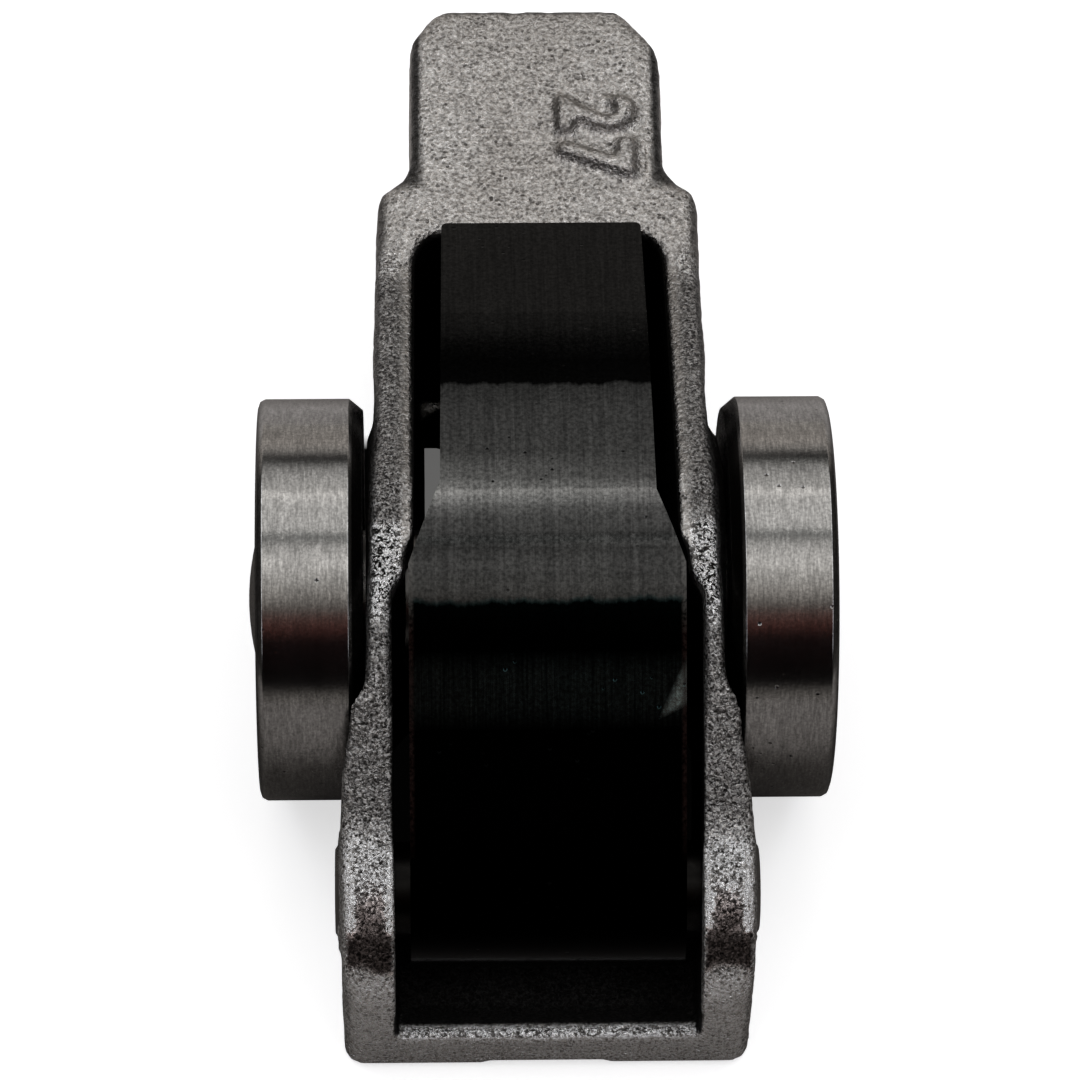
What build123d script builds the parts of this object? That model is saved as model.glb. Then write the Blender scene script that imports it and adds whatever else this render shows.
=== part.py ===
from build123d import *
import math
import os

# Two-step roller finger follower: a cast frame that pivots on a lash-adjuster
# ball at its far end and pushes the valve stem at its near end. Two outboard
# rollers follow the low-lift cams. A coated arm between the walls follows the
# high-lift cam, and only counts when the latch pin is under its tip.
#
# Frame: the origin is the centre of the lash-adjuster ball in its socket.
# +X runs along the roller axle, +Y away from the valve, +Z to the camshaft.
# Side profiles are drawn as (y, z) and plans as (x, y), both measured from the
# centre of the roller axle.

# ---------------------------------------------------------------- dimensions, mm
axle_y, axle_z = -23.6, 7.4       # roller axle centre, from the ball centre
base_z = -9.0                     # underside of both feet

# rollers and axle
roller_r, roller_w = 8.75, 4.55
roller_in = 7.8                   # |x| of the inner face
roller_bore_r = 4.5
axle_r = 3.0
needle_r, needle_len, needle_count = 0.72, 3.9, 15
needle_pitch_r = 3.75
washer_r = 4.7
sink_r, sink = 4.95, 0.3          # counterbore in the outer face, for the washer
boss_r, boss_x = 7.2, 7.66        # thrust boss on each wall
recess_r = 9.68                   # wall relief round each roller
recess_left, recess_right = 7.5, 7.3
recess_turn = 1.6                 # degrees, the walls spread towards the valve

# frame plan, half widths
tongue_x, tongue_end = 5.7, 29.0
shoulder_x, shoulder_y = 7.15, 18.9
mid_left, mid_right = 7.4, 7.2
near_left, near_right = 8.6, 8.2
pin_x, end_x = 8.85, 8.75
near_end = -18.3
pocket_far_x, pocket_mid_x = 5.5, 5.65
pocket_near_x, pocket_end_x = 6.6, 6.5
rail_x = 5.12                     # opening between the wall feet

# frame side profile
tongue_top = 3.6
crest_z = 7.9
nose_y, nose_z, nose_r = -13.3, -3.7, 5.0
floor_z = -7.2                    # top of the valve-end floor
lip_z = -6.1                      # top of the cross wall
shelf_y, shelf_z = 12.96, -7.6    # web ahead of the socket block
perch_r = 4.2

# arm
pivot_y, pivot_z = -12.9, -2.6
pin_r = 2.1
pin_boss_r, pin_boss_x = 2.45, 9.0
hub_r = 3.3
arm_pin_clear = 0.03
pad_r = 9.4                       # cam pad radius at the crest
pad_z = 8.75                      # crest of the pad, level with the rollers
tip_r = 30.06                     # arm tip, from the pivot
tip_under = 1.55                  # latch face under the tip
arm_far_x, arm_mid_x, arm_near_x = 4.3, 4.5, 5.86
arm_right = 0.18                  # the far half is this much wider on the right
arm_flare, arm_wide = 0.85, -2.95 # the pad widens between these stations
arm_travel = 13.0                 # degrees

# springs under the arm
spring_y = 8.2
spring_top, seat_t = 4.4, 0.6
outer_r, outer_wire = 3.4, 0.9    # mean coil radius, wire diameter
inner_r, inner_wire = 2.35, 0.65

# latch
latch_z = 0.0
head_r, nose_pin_r = 2.2, 1.7
latch_clear = 0.03
nose_front, shoulder_latch = 17.25, 19.2
head_front, head_back, stub_back = 23.0, 24.6, 27.2
latch_travel = 2.5
plug_front, plug_back = 27.3, 28.0

# ball socket
ball_y, ball_z = 23.6, -7.4
socket_r = 4.05

side = Plane(origin=(0, axle_y, axle_z), x_dir=(0, 1, 0), z_dir=(1, 0, 0))


def level(h):
    """Plan plane at height h above the axle centre."""
    return Plane(origin=(0, axle_y, axle_z + h), x_dir=(1, 0, 0), z_dir=(0, 0, 1))


def on_axis(y, z):
    """Plane across X whose origin is (y, z) from the axle centre."""
    return Plane(origin=(0, axle_y + y, axle_z + z), x_dir=(0, 1, 0), z_dir=(1, 0, 0))


def along_y(y, z=0.0):
    """Plane that faces +Y at station y."""
    return Plane(origin=(0, axle_y + y, axle_z + z), x_dir=(-1, 0, 0), z_dir=(0, 1, 0))


def tip_at(z, r=tip_r):
    """y of the circle of radius r about the pivot, at height z."""
    return pivot_y + math.sqrt(r * r - (z - pivot_z) ** 2)


# ---------------------------------------------------------------- pocket core
# The space between the walls: open through the middle, floored at both ends.
wall_r = tip_r + 0.25             # far wall sweeps clear of the arm tip
with BuildPart() as pocket_core:
    with BuildSketch(level(-14)):
        with BuildLine():
            Polyline(
                (-pocket_end_x, -21), (-pocket_near_x, -3.8), (-pocket_mid_x, -2.6),
                (-pocket_far_x, 18.5), (pocket_far_x, 18.5), (pocket_mid_x, -2.6),
                (pocket_near_x, -3.8), (pocket_end_x, -21), close=True,
            )
        make_face()
    extrude(amount=28)
    far_low = (tip_at(shelf_z, wall_r), shelf_z)
    far_mid = (tip_at(-2.0, wall_r), -2.0)
    far_top = (tip_at(tongue_top + 1.0, wall_r), tongue_top + 1.0)
    with BuildSketch(side):
        with BuildLine():
            Polyline(
                far_top, (far_top[0], 13), (-21, 13), (-21, lip_z), (-17.65, lip_z),
                (-16.4, floor_z), (-8.6, floor_z), (-8.6, -13), (shelf_y, -13),
                (shelf_y, shelf_z), far_low,
            )
            ThreePointArc(far_low, far_mid, far_top)
        make_face()
    extrude(amount=10, both=True, mode=Mode.INTERSECT)
    # cast corners at the far wall
    far_corners = [
        e for e in pocket_core.edges()
        if e.center().Y > axle_y + 16 and abs(e.center().X) > 5.2
        and -5.0 < e.center().Z - axle_z < 10.0
    ]
    fillet(far_corners, 1.6)
    # relief in both walls for the wide part of the arm on its way down, which
    # swings forward about the pivot as it drops
    wide, slope_x = arm_near_x + 0.13, (arm_flare - arm_wide) / (arm_near_x - arm_mid_x)
    front_wide = arm_wide + 0.22 - 0.13 * slope_x
    front_narrow = arm_wide + 0.22 + (arm_near_x - 5.5) * slope_x
    swing, drop_z = 2.62, 2.9
    run_out = math.hypot(swing, drop_z)
    for top, shift in ((8.7, 0.0), (8.7 - drop_z, swing)):
        with BuildSketch(level(top)):
            with BuildLine():
                Polyline(
                    (-wide, shift - 6.2), (-wide, shift + front_wide), (-5.5, shift + front_narrow),
                    (5.5, shift + front_narrow), (wide, shift + front_wide), (wide, shift - 6.2), close=True,
                )
            make_face()
        if shift == 0.0:
            extrude(amount=run_out, dir=(0, swing / run_out, -drop_z / run_out))
        else:
            extrude(amount=-(top + 6.6))

# ---------------------------------------------------------------- frame casting
with BuildPart() as follower_body:
    slope = math.radians(48)
    convex_r = 8.0
    s_end = (-2.6 - convex_r * math.sin(slope), crest_z - convex_r * (1 - math.cos(slope)))
    s_mid = (-2.6 - convex_r * math.sin(slope / 2), crest_z - convex_r * (1 - math.cos(slope / 2)))
    nose_top = (nose_y, nose_z + nose_r)
    foot_run = (s_end[1] - nose_top[1]) / math.tan(slope)
    foot = (s_end[0] - foot_run, nose_top[1])
    with BuildSketch(side):
        with BuildLine():
            Polyline(
                foot, s_end,
            )
            ThreePointArc(s_end, s_mid, (-2.6, crest_z))
            Polyline(
                (-2.6, crest_z), (1.6, crest_z), (14.7, tongue_top), (tongue_end, tongue_top),
                (tongue_end, base_z + 0.5), (tongue_end - 0.5, base_z), (11.2, base_z),
                (6.0, -7.2), (-5.6, -7.2), (-7.6, base_z), (near_end + 0.4, base_z),
                (near_end, base_z + 0.4), (near_end, nose_z),
            )
            ThreePointArc(
                (near_end, nose_z),
                (nose_y - nose_r * math.sin(math.radians(45)), nose_z + nose_r * math.cos(math.radians(45))),
                nose_top,
            )
            Line(nose_top, foot)
        make_face()
    extrude(amount=10, both=True)

    # outline seen from above: narrow tongue, shoulders, walls that spread
    with BuildSketch(level(-12)):
        with BuildLine():
            Polyline(
                (-tongue_x + 1.3, tongue_end), (tongue_x - 1.8, tongue_end),
                (tongue_x, tongue_end - 2.4), (tongue_x, shoulder_y + 1.0),
                (shoulder_x, shoulder_y), (mid_right, 8.0), (mid_right + 0.1, 4.0),
                (near_right, -8.0), (pin_x, -11.8), (pin_x, -14.2), (end_x, near_end),
                (-end_x, near_end), (-pin_x, -14.2), (-pin_x, -11.8), (-near_left, -8.0),
                (-mid_left - 0.1, 4.0), (-mid_left, 8.0), (-shoulder_x, shoulder_y),
                (-tongue_x, shoulder_y + 1.0), (-tongue_x, tongue_end - 1.8), close=True,
            )
        make_face()
        near_corners = [v for v in vertices() if abs(v.Y - near_end) < 0.01]
        fillet(near_corners, 1.1)
        far_tips = [v for v in vertices() if v.Y > tongue_end - 2.5]
        fillet(far_tips, 0.9)
        spread = [v for v in vertices() if v.Y in (-11.8, -14.2)]
        fillet(spread, 2.0)
        inner_corners = [
            v for v in vertices()
            if abs(v.Y - (shoulder_y + 1.0)) < 0.01 and abs(abs(v.X) - tongue_x) < 0.01
        ]
        fillet(inner_corners, 1.5)
        outer_corners = [v for v in vertices() if abs(v.Y - shoulder_y) < 0.01 and abs(abs(v.X) - shoulder_x) < 0.01]
        fillet(outer_corners, 0.8)
    extrude(amount=24, mode=Mode.INTERSECT)

    # soften the breaks along the wall tops
    breaks = [
        e for e in follower_body.edges().filter_by(Axis.X)
        if any(
            abs(e.center().Y - (axle_y + y)) < 0.02 and abs(e.center().Z - (axle_z + z)) < 0.02
            for y, z in ((14.7, tongue_top), (1.6, crest_z))
        )
    ]
    fillet(breaks, 3.0)
    foot_edge = [
        e for e in follower_body.edges().filter_by(Axis.X)
        if abs(e.center().Y - (axle_y + foot[0])) < 0.02 and abs(e.center().Z - (axle_z + foot[1])) < 0.02
    ]
    fillet(foot_edge, 1.6)

    # relief round each roller, with a thrust boss on the axle
    turn = math.radians(recess_turn)
    for s, depth in ((-1, recess_left), (1, recess_right)):
        with BuildSketch(Plane(
            origin=(s * depth, axle_y, axle_z),
            x_dir=(-s * math.sin(turn), math.cos(turn), 0), z_dir=(s * math.cos(turn), math.sin(turn), 0),
        )):
            Circle(recess_r)
        extrude(amount=3.0, taper=-16, mode=Mode.SUBTRACT)
    with BuildSketch(side):
        Circle(boss_r)
    extrude(amount=boss_x, both=True)
    with BuildSketch(on_axis(pivot_y, pivot_z)):
        Circle(pin_boss_r)
    extrude(amount=pin_boss_x, both=True)

    add(pocket_core.part, mode=Mode.SUBTRACT)

    # rails along the foot of both walls, round the opening under the arm
    with BuildSketch(level(-7.2)):
        with Locations((0, 8.85)):
            Rectangle(11.5, 9.3)
        with BuildLine():
            Polyline((-rail_x, 4.0), (-rail_x, shelf_y), (rail_x, shelf_y), (rail_x, 4.0), close=True)
        make_face(mode=Mode.SUBTRACT)
        inner = [v for v in vertices() if abs(v.Y - shelf_y) < 0.01 and abs(abs(v.X) - rail_x) < 0.01]
        fillet(inner, 1.0)
    extrude(amount=1.8)

    # perch for the springs, reaching forward from the web
    with BuildSketch(level(base_z)):
        with Locations((0, spring_y)):
            Circle(perch_r)
        with Locations((0, (spring_y + shelf_y + 0.5) / 2)):
            Rectangle(2 * perch_r, shelf_y + 0.5 - spring_y)
    extrude(amount=shelf_z - base_z)

    # axle and pivot bores
    with BuildSketch(side):
        Circle(axle_r)
    extrude(amount=12, both=True, mode=Mode.SUBTRACT)
    with BuildSketch(on_axis(pivot_y, pivot_z)):
        Circle(pin_r)
    extrude(amount=12, both=True, mode=Mode.SUBTRACT)

    # valve pad: a shallow guide groove under the near end
    with BuildSketch(along_y(near_end - 0.5, base_z)):
        with BuildLine():
            Polyline((-3.3, -0.5), (-2.85, 0.0), (-2.55, 0.5), (2.55, 0.5), (2.85, 0.0), (3.3, -0.5), close=True)
        make_face()
    extrude(amount=11.5, mode=Mode.SUBTRACT)

    # lash-adjuster socket: a ball seat with a short straight mouth
    with BuildSketch(on_axis(ball_y, ball_z)):
        with BuildLine():
            l1 = Line((0, socket_r), (0, -2.0))
            l2 = Polyline(
                (0, -2.0), (socket_r + 0.7, -2.0), (socket_r + 0.3, base_z - ball_z),
                (socket_r, base_z - ball_z + 0.3), (socket_r, 0),
            )
            ThreePointArc(
                (socket_r, 0),
                (socket_r * math.cos(math.radians(45)), socket_r * math.sin(math.radians(45))),
                (0, socket_r),
            )
        make_face()
    revolve(axis=Axis(origin=(0, axle_y + ball_y, axle_z + ball_z), direction=(0, 0, 1)), mode=Mode.SUBTRACT)

    # latch bore, stepped, drilled from the tongue end
    with BuildSketch(along_y(14.0, latch_z)):
        Circle(nose_pin_r + latch_clear)
    extrude(amount=8.0, mode=Mode.SUBTRACT)
    with BuildSketch(along_y(shoulder_latch, latch_z)):
        Circle(head_r + latch_clear)
    extrude(amount=12.0, mode=Mode.SUBTRACT)
    with BuildSketch(along_y(plug_front, latch_z)):
        Circle(2.6)
    extrude(amount=3.0, mode=Mode.SUBTRACT)
    with BuildSketch(along_y(plug_back, latch_z)):
        Circle(2.85)
    extrude(amount=0.34, mode=Mode.SUBTRACT)

    # oil way from the ball seat into the latch bore, behind the piston
    with BuildSketch(Plane(origin=(0, axle_y + 25.7, axle_z - 5.0), x_dir=(1, 0, 0), z_dir=(0, 0, 1))):
        Circle(0.6)
    extrude(amount=4.0, mode=Mode.SUBTRACT)
follower_body.part.label = "follower_body"

# ---------------------------------------------------------------- coated arm
hub = (pivot_y, pivot_z)
pad_c = (0.0, pad_z - pad_r)
run = math.radians(36.5)          # straight run from the pad down to the hub
rear = math.radians(6.0)
pad_rear = (pad_r * math.sin(rear), pad_c[1] + pad_r * math.cos(rear))
pad_front = (-pad_r * math.sin(run), pad_c[1] + pad_r * math.cos(run))
brk = (6.7, pad_rear[1] - (6.7 - pad_rear[0]) * math.tan(rear))
tip_slope = math.radians(16.8)
# tip corner: where the far slope meets the tip circle
tip_y = 16.0
for _ in range(40):
    tip_z = brk[1] - (tip_y - brk[0]) * math.tan(tip_slope)
    tip_y = tip_at(tip_z)
hub_tan = (hub[0] - hub_r * math.sin(run), hub[1] + hub_r * math.cos(run))
hub_front = (hub[0] - hub_r, hub[1])
hub_low = (hub[0] + 0.2, hub[1] - math.sqrt(hub_r ** 2 - 0.04))
tip_low = (tip_at(tip_under), tip_under)
tip_mid_z = (tip_z + tip_under) / 2

with BuildPart() as slider_arm:
    with BuildSketch(side):
        with BuildLine():
            ThreePointArc((tip_y, tip_z), (tip_at(tip_mid_z), tip_mid_z), tip_low)
            Polyline(
                tip_low, (13.4, tip_under), (12.5, spring_top - 1.2), (12.4, spring_top),
                (1.9, spring_top), (1.9, -5.0), hub_low,
            )
            ThreePointArc(
                hub_low,
                (hub[0] - hub_r * math.sin(math.radians(45)), hub[1] - hub_r * math.cos(math.radians(45))),
                hub_front,
            )
            ThreePointArc(
                hub_front,
                (hub[0] - hub_r * math.cos(math.radians(27)), hub[1] + hub_r * math.sin(math.radians(27))),
                hub_tan,
            )
            Line(hub_tan, pad_front)
            ThreePointArc(pad_front, (-pad_r * math.sin(math.radians(15)), pad_c[1] + pad_r * math.cos(math.radians(15))), pad_rear)
            Polyline(pad_rear, brk, (tip_y, tip_z))
        make_face()
    extrude(amount=8, both=True)
    brk_edge = [
        e for e in slider_arm.edges().filter_by(Axis.X)
        if abs(e.center().Y - (axle_y + brk[0])) < 0.02 and e.center().Z > axle_z + 5
    ]
    fillet(brk_edge, 40.0)
    # plan: narrow towards the latch, wide over the pivot
    with BuildSketch(level(-9)):
        with BuildLine():
            Polyline(
                (-arm_near_x, -18), (-arm_near_x, arm_wide), (-arm_mid_x, arm_flare), (-arm_far_x, 18),
                (arm_far_x + arm_right, 18), (arm_mid_x + arm_right, arm_flare - 0.5),
                (arm_near_x, arm_wide), (arm_near_x, -18), close=True,
            )
        make_face()
    extrude(amount=20, mode=Mode.INTERSECT)
    # way for the axle, from its place at rest to its place with the arm down
    drop = math.radians(arm_travel)
    ay, az = -pivot_y, -pivot_z
    down = (
        pivot_y + ay * math.cos(drop) - az * math.sin(drop),
        pivot_z + ay * math.sin(drop) + az * math.cos(drop),
    )
    slot_r = axle_r + 0.16
    dy, dz = down
    run_len = math.hypot(dy, dz)
    ny, nz = dz / run_len * slot_r, -dy / run_len * slot_r
    with BuildSketch(side):
        with Locations((0, 0), down):
            Circle(slot_r)
        with BuildLine():
            Polyline((ny, nz), (dy + ny, dz + nz), (dy - ny, dz - nz), (-ny, -nz), close=True)
        make_face()
    extrude(amount=8, both=True, mode=Mode.SUBTRACT)
    # behind the axle only the top plate is left, ahead a hook stays under the axle
    with BuildSketch(side):
        with BuildLine():
            Polyline((0.0, -3.0), (3.4, -3.0), (3.4, spring_top), (0.0, spring_top), close=True)
        make_face()
    extrude(amount=8, both=True, mode=Mode.SUBTRACT)
    # pivot bore
    with BuildSketch(on_axis(*hub)):
        Circle(pin_r + arm_pin_clear)
    extrude(amount=8, both=True, mode=Mode.SUBTRACT)
    # spring pilot under the plate
    with BuildSketch(Plane(origin=(0, axle_y + spring_y, axle_z + spring_top), x_dir=(1, 0, 0), z_dir=(0, 0, -1))):
        Circle(1.85)
    extrude(amount=1.0, taper=12)
    # tip corners
    tip_edges = [
        e for e in slider_arm.edges()
        if e.center().Y > axle_y + 15.5 and abs(e.center().X) > arm_far_x - 0.1
        and tip_under < e.center().Z - axle_z < tip_z
    ]
    fillet(tip_edges, 0.25)
slider_arm.part.label = "slider_arm"

# ---------------------------------------------------------------- pivot pin
# pressed into both walls, its chamfered ends a little proud of their bosses
with BuildPart() as pivot_pin:
    with BuildSketch(Plane(origin=(0, axle_y + pivot_y, axle_z + pivot_z), x_dir=(1, 0, 0), z_dir=(0, 1, 0))):
        with BuildLine():
            Polyline(
                (-9.08, 0), (-9.08, pin_r - 0.3), (-8.88, pin_r),
                (8.88, pin_r), (9.08, pin_r - 0.3), (9.08, 0), close=True,
            )
        make_face()
    revolve(axis=Axis(origin=(0, axle_y + pivot_y, axle_z + pivot_z), direction=(1, 0, 0)))
pivot_pin.part.label = "pivot_pin"

# ---------------------------------------------------------------- roller axle
axle_plane = Plane(origin=(0, axle_y, axle_z), x_dir=(1, 0, 0), z_dir=(0, 1, 0))
axle_axis = Axis(origin=(0, axle_y, axle_z), direction=(1, 0, 0))
# a domed head on the left, staked flush on the right
washer_in = roller_in + roller_w - sink + 0.05
head_rise = 0.42
head_sphere = (axle_r ** 2 + head_rise ** 2) / (2 * head_rise)
head_end = washer_in + 0.3 + head_rise
head_mid = head_end - (head_sphere - math.sqrt(head_sphere ** 2 - (axle_r / 2) ** 2))
with BuildPart() as roller_axle:
    with BuildSketch(axle_plane):
        with BuildLine():
            Polyline(
                (-washer_in - 0.3, axle_r), (washer_in + 0.2, axle_r), (washer_in + 0.3, axle_r - 0.1),
                (washer_in + 0.3, 0), (-head_end, 0),
            )
            ThreePointArc((-head_end, 0), (-head_mid, axle_r / 2), (-washer_in - 0.3, axle_r))
        make_face()
    revolve(axis=axle_axis)
roller_axle.part.label = "roller_axle"

# ---------------------------------------------------------------- rollers
def roller_profile(s):
    a, b = roller_in, roller_in + roller_w
    return [
        (s * a, roller_bore_r + 0.2), (s * a, roller_r - 0.5), (s * (a + 0.6), roller_r),
        (s * (b - 0.3), roller_r), (s * (b - 0.08), roller_r - 0.12), (s * b, roller_r - 0.36),
        (s * b, sink_r), (s * (b - sink), sink_r),
        (s * (b - sink), roller_bore_r), (s * (a + 0.2), roller_bore_r),
    ]


with BuildPart() as roller_left:
    with BuildSketch(axle_plane):
        with BuildLine():
            Polyline(*roller_profile(-1), close=True)
        make_face()
    revolve(axis=axle_axis)
roller_left.part.label = "roller_left"

with BuildPart() as roller_right:
    with BuildSketch(axle_plane):
        with BuildLine():
            Polyline(*roller_profile(1), close=True)
        make_face()
    revolve(axis=axle_axis)
roller_right.part.label = "roller_right"

# ---------------------------------------------------------------- needles
needle_in = roller_in + 0.22
with BuildPart() as needle_rollers_left:
    with BuildSketch(Plane(origin=(-needle_in, axle_y, axle_z), x_dir=(0, 1, 0), z_dir=(-1, 0, 0))):
        with PolarLocations(needle_pitch_r, needle_count):
            Circle(needle_r)
    extrude(amount=needle_len)
needle_rollers_left.part.label = "needle_rollers_left"

with BuildPart() as needle_rollers_right:
    with BuildSketch(Plane(origin=(needle_in, axle_y, axle_z), x_dir=(0, 1, 0), z_dir=(1, 0, 0))):
        with PolarLocations(needle_pitch_r, needle_count):
            Circle(needle_r)
    extrude(amount=needle_len)
needle_rollers_right.part.label = "needle_rollers_right"

# ---------------------------------------------------------------- dished washers
def washer_profile(s):
    a = washer_in
    return [
        (s * a, axle_r), (s * a, washer_r - 0.1), (s * (a + 0.1), washer_r),
        (s * (a + 0.19), washer_r - 0.35), (s * (a + 0.27), axle_r + 0.5), (s * (a + 0.3), axle_r),
    ]


with BuildPart() as axle_washer_left:
    with BuildSketch(axle_plane):
        with BuildLine():
            Polyline(*washer_profile(-1), close=True)
        make_face()
    revolve(axis=axle_axis)
axle_washer_left.part.label = "axle_washer_left"

with BuildPart() as axle_washer_right:
    with BuildSketch(axle_plane):
        with BuildLine():
            Polyline(*washer_profile(1), close=True)
        make_face()
    revolve(axis=axle_axis)
axle_washer_right.part.label = "axle_washer_right"

# ---------------------------------------------------------------- latch pin
latch_axis = Axis(origin=(0, axle_y, axle_z + latch_z), direction=(0, 1, 0))
with BuildPart() as latch_pin:
    with BuildSketch(Plane(origin=(0, axle_y, axle_z + latch_z), x_dir=(0, 1, 0), z_dir=(1, 0, 0))):
        with BuildLine():
            Polyline(
                (nose_front, 0), (nose_front, nose_pin_r - 0.25), (nose_front + 0.25, nose_pin_r),
                (20.6, nose_pin_r), (20.9, 1.35), (head_front, 1.35), (head_front, head_r - 0.1),
                (head_front + 0.1, head_r), (head_back - 0.1, head_r), (head_back, head_r - 0.1),
                (head_back, 1.2), (stub_back - 0.2, 1.2), (stub_back, 1.0), (stub_back, 0), close=True,
            )
        make_face()
    revolve(axis=latch_axis)
    # the nose is flat on top, where the arm bears, and cut away below
    with BuildSketch(Plane(origin=(0, axle_y, axle_z + latch_z), x_dir=(0, 1, 0), z_dir=(1, 0, 0))):
        with Locations((nose_front + 1.1, tip_under - 0.05 + 1.0)):
            Rectangle(4.4, 2.0)
        with BuildLine():
            Polyline((nose_front - 1, -3), (nose_front - 1, 0.3), (nose_front, 0.3), (nose_front + 0.3, 0.0), (nose_front + 3.0, 0.0), (nose_front + 3.0, -3), close=True)
        make_face()
    extrude(amount=4, both=True, mode=Mode.SUBTRACT)
latch_pin.part.label = "latch_pin"

# ---------------------------------------------------------------- coil springs
def coil(radius, wire, length, turns, at, towards, left=False):
    """Compression spring with ground ends that stands on `at`, along `towards`."""
    pitch = (length - 0.35 * wire) / turns
    base = Plane(origin=at, z_dir=towards)
    path = base.from_local_coords(
        Helix(pitch=pitch, height=pitch * turns, radius=radius, center=(0, 0, 0.18 * wire), lefthand=left)
    )
    return base, path


spring_base = axle_z + shelf_z + seat_t
spring_len = spring_top - shelf_z - seat_t
gap = 0.02

outer_base, outer_path = coil(
    outer_r, outer_wire, spring_len - 2 * gap, 4.5,
    (0, axle_y + spring_y, spring_base + gap), (0, 0, 1),
)
with BuildPart() as lost_motion_spring_outer:
    with BuildLine():
        add(outer_path)
    with BuildSketch(Plane(origin=outer_path @ 0, z_dir=outer_path % 0)):
        Circle(outer_wire / 2)
    sweep(is_frenet=True)
    with BuildSketch(outer_base):
        Circle(outer_r + 2)
    extrude(amount=spring_len - 2 * gap, mode=Mode.INTERSECT)
lost_motion_spring_outer.part.label = "lost_motion_spring_outer"

inner_base, inner_path = coil(
    inner_r, inner_wire, spring_len - 2 * gap, 6.5,
    (0, axle_y + spring_y, spring_base + gap), (0, 0, 1), left=True,
)
with BuildPart() as lost_motion_spring_inner:
    with BuildLine():
        add(inner_path)
    with BuildSketch(Plane(origin=inner_path @ 0, z_dir=inner_path % 0)):
        Circle(inner_wire / 2)
    sweep(is_frenet=True)
    with BuildSketch(inner_base):
        Circle(inner_r + 2)
    extrude(amount=spring_len - 2 * gap, mode=Mode.INTERSECT)
lost_motion_spring_inner.part.label = "lost_motion_spring_inner"

latch_wire, latch_coil_r = 0.34, 1.93
latch_len = head_front - shoulder_latch
latch_base, latch_path = coil(
    latch_coil_r, latch_wire, latch_len - 2 * gap, 4.5,
    (0, axle_y + shoulder_latch + gap, axle_z + latch_z), (0, 1, 0),
)
with BuildPart() as latch_return_spring:
    with BuildLine():
        add(latch_path)
    with BuildSketch(Plane(origin=latch_path @ 0, z_dir=latch_path % 0)):
        Circle(latch_wire / 2)
    sweep(is_frenet=True)
    with BuildSketch(latch_base):
        Circle(latch_coil_r + 1)
    extrude(amount=latch_len - 2 * gap, mode=Mode.INTERSECT)
latch_return_spring.part.label = "latch_return_spring"

# ---------------------------------------------------------------- spring seat
with BuildPart() as spring_seat:
    with BuildSketch(Plane(origin=(0, axle_y + spring_y, axle_z + shelf_z), x_dir=(1, 0, 0), z_dir=(0, -1, 0))):
        with BuildLine():
            Polyline((0, 0), (4.05, 0), (4.05, seat_t - 0.1), (3.95, seat_t), (1.85, seat_t), (1.7, 1.6), (1.4, 1.8), (0, 1.8), close=True)
        make_face()
    revolve(axis=Axis(origin=(0, axle_y + spring_y, 0), direction=(0, 0, 1)))
spring_seat.part.label = "spring_seat"

# ---------------------------------------------------------------- latch bore plug and its ring
with BuildPart() as latch_bore_plug:
    with BuildSketch(along_y(plug_front, latch_z)):
        Circle(2.57)
    extrude(amount=plug_back - plug_front)
    with BuildSketch(along_y(plug_back, latch_z)):
        Circle(1.1)
    extrude(amount=-0.35, mode=Mode.SUBTRACT)
    chamfer(latch_bore_plug.edges().filter_by(GeomType.CIRCLE).group_by(SortBy.RADIUS)[-1], 0.1)
latch_bore_plug.part.label = "latch_bore_plug"

with BuildPart() as plug_retaining_ring:
    with BuildSketch(along_y(plug_back + 0.02, latch_z)):
        Circle(2.8)
        Circle(2.25, mode=Mode.SUBTRACT)
        with Locations((0, -2.5)):
            Rectangle(1.3, 1.4, mode=Mode.SUBTRACT)
    extrude(amount=0.3)
plug_retaining_ring.part.label = "plug_retaining_ring"

# ---------------------------------------------------------------- one STEP per piece
os.makedirs("parts", exist_ok=True)
export_step(follower_body.part, "parts/follower_body.step")
export_step(slider_arm.part, "parts/slider_arm.step")
export_step(pivot_pin.part, "parts/pivot_pin.step")
export_step(roller_axle.part, "parts/roller_axle.step")
export_step(roller_left.part, "parts/roller_left.step")
export_step(roller_right.part, "parts/roller_right.step")
export_step(needle_rollers_left.part, "parts/needle_rollers_left.step")
export_step(needle_rollers_right.part, "parts/needle_rollers_right.step")
export_step(axle_washer_left.part, "parts/axle_washer_left.step")
export_step(axle_washer_right.part, "parts/axle_washer_right.step")
export_step(latch_pin.part, "parts/latch_pin.step")
export_step(latch_return_spring.part, "parts/latch_return_spring.step")
export_step(latch_bore_plug.part, "parts/latch_bore_plug.step")
export_step(plug_retaining_ring.part, "parts/plug_retaining_ring.step")
export_step(lost_motion_spring_outer.part, "parts/lost_motion_spring_outer.step")
export_step(lost_motion_spring_inner.part, "parts/lost_motion_spring_inner.step")
export_step(spring_seat.part, "parts/spring_seat.step")
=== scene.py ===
import bpy
import math
import numpy as np
from mathutils import Matrix, Vector


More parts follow.
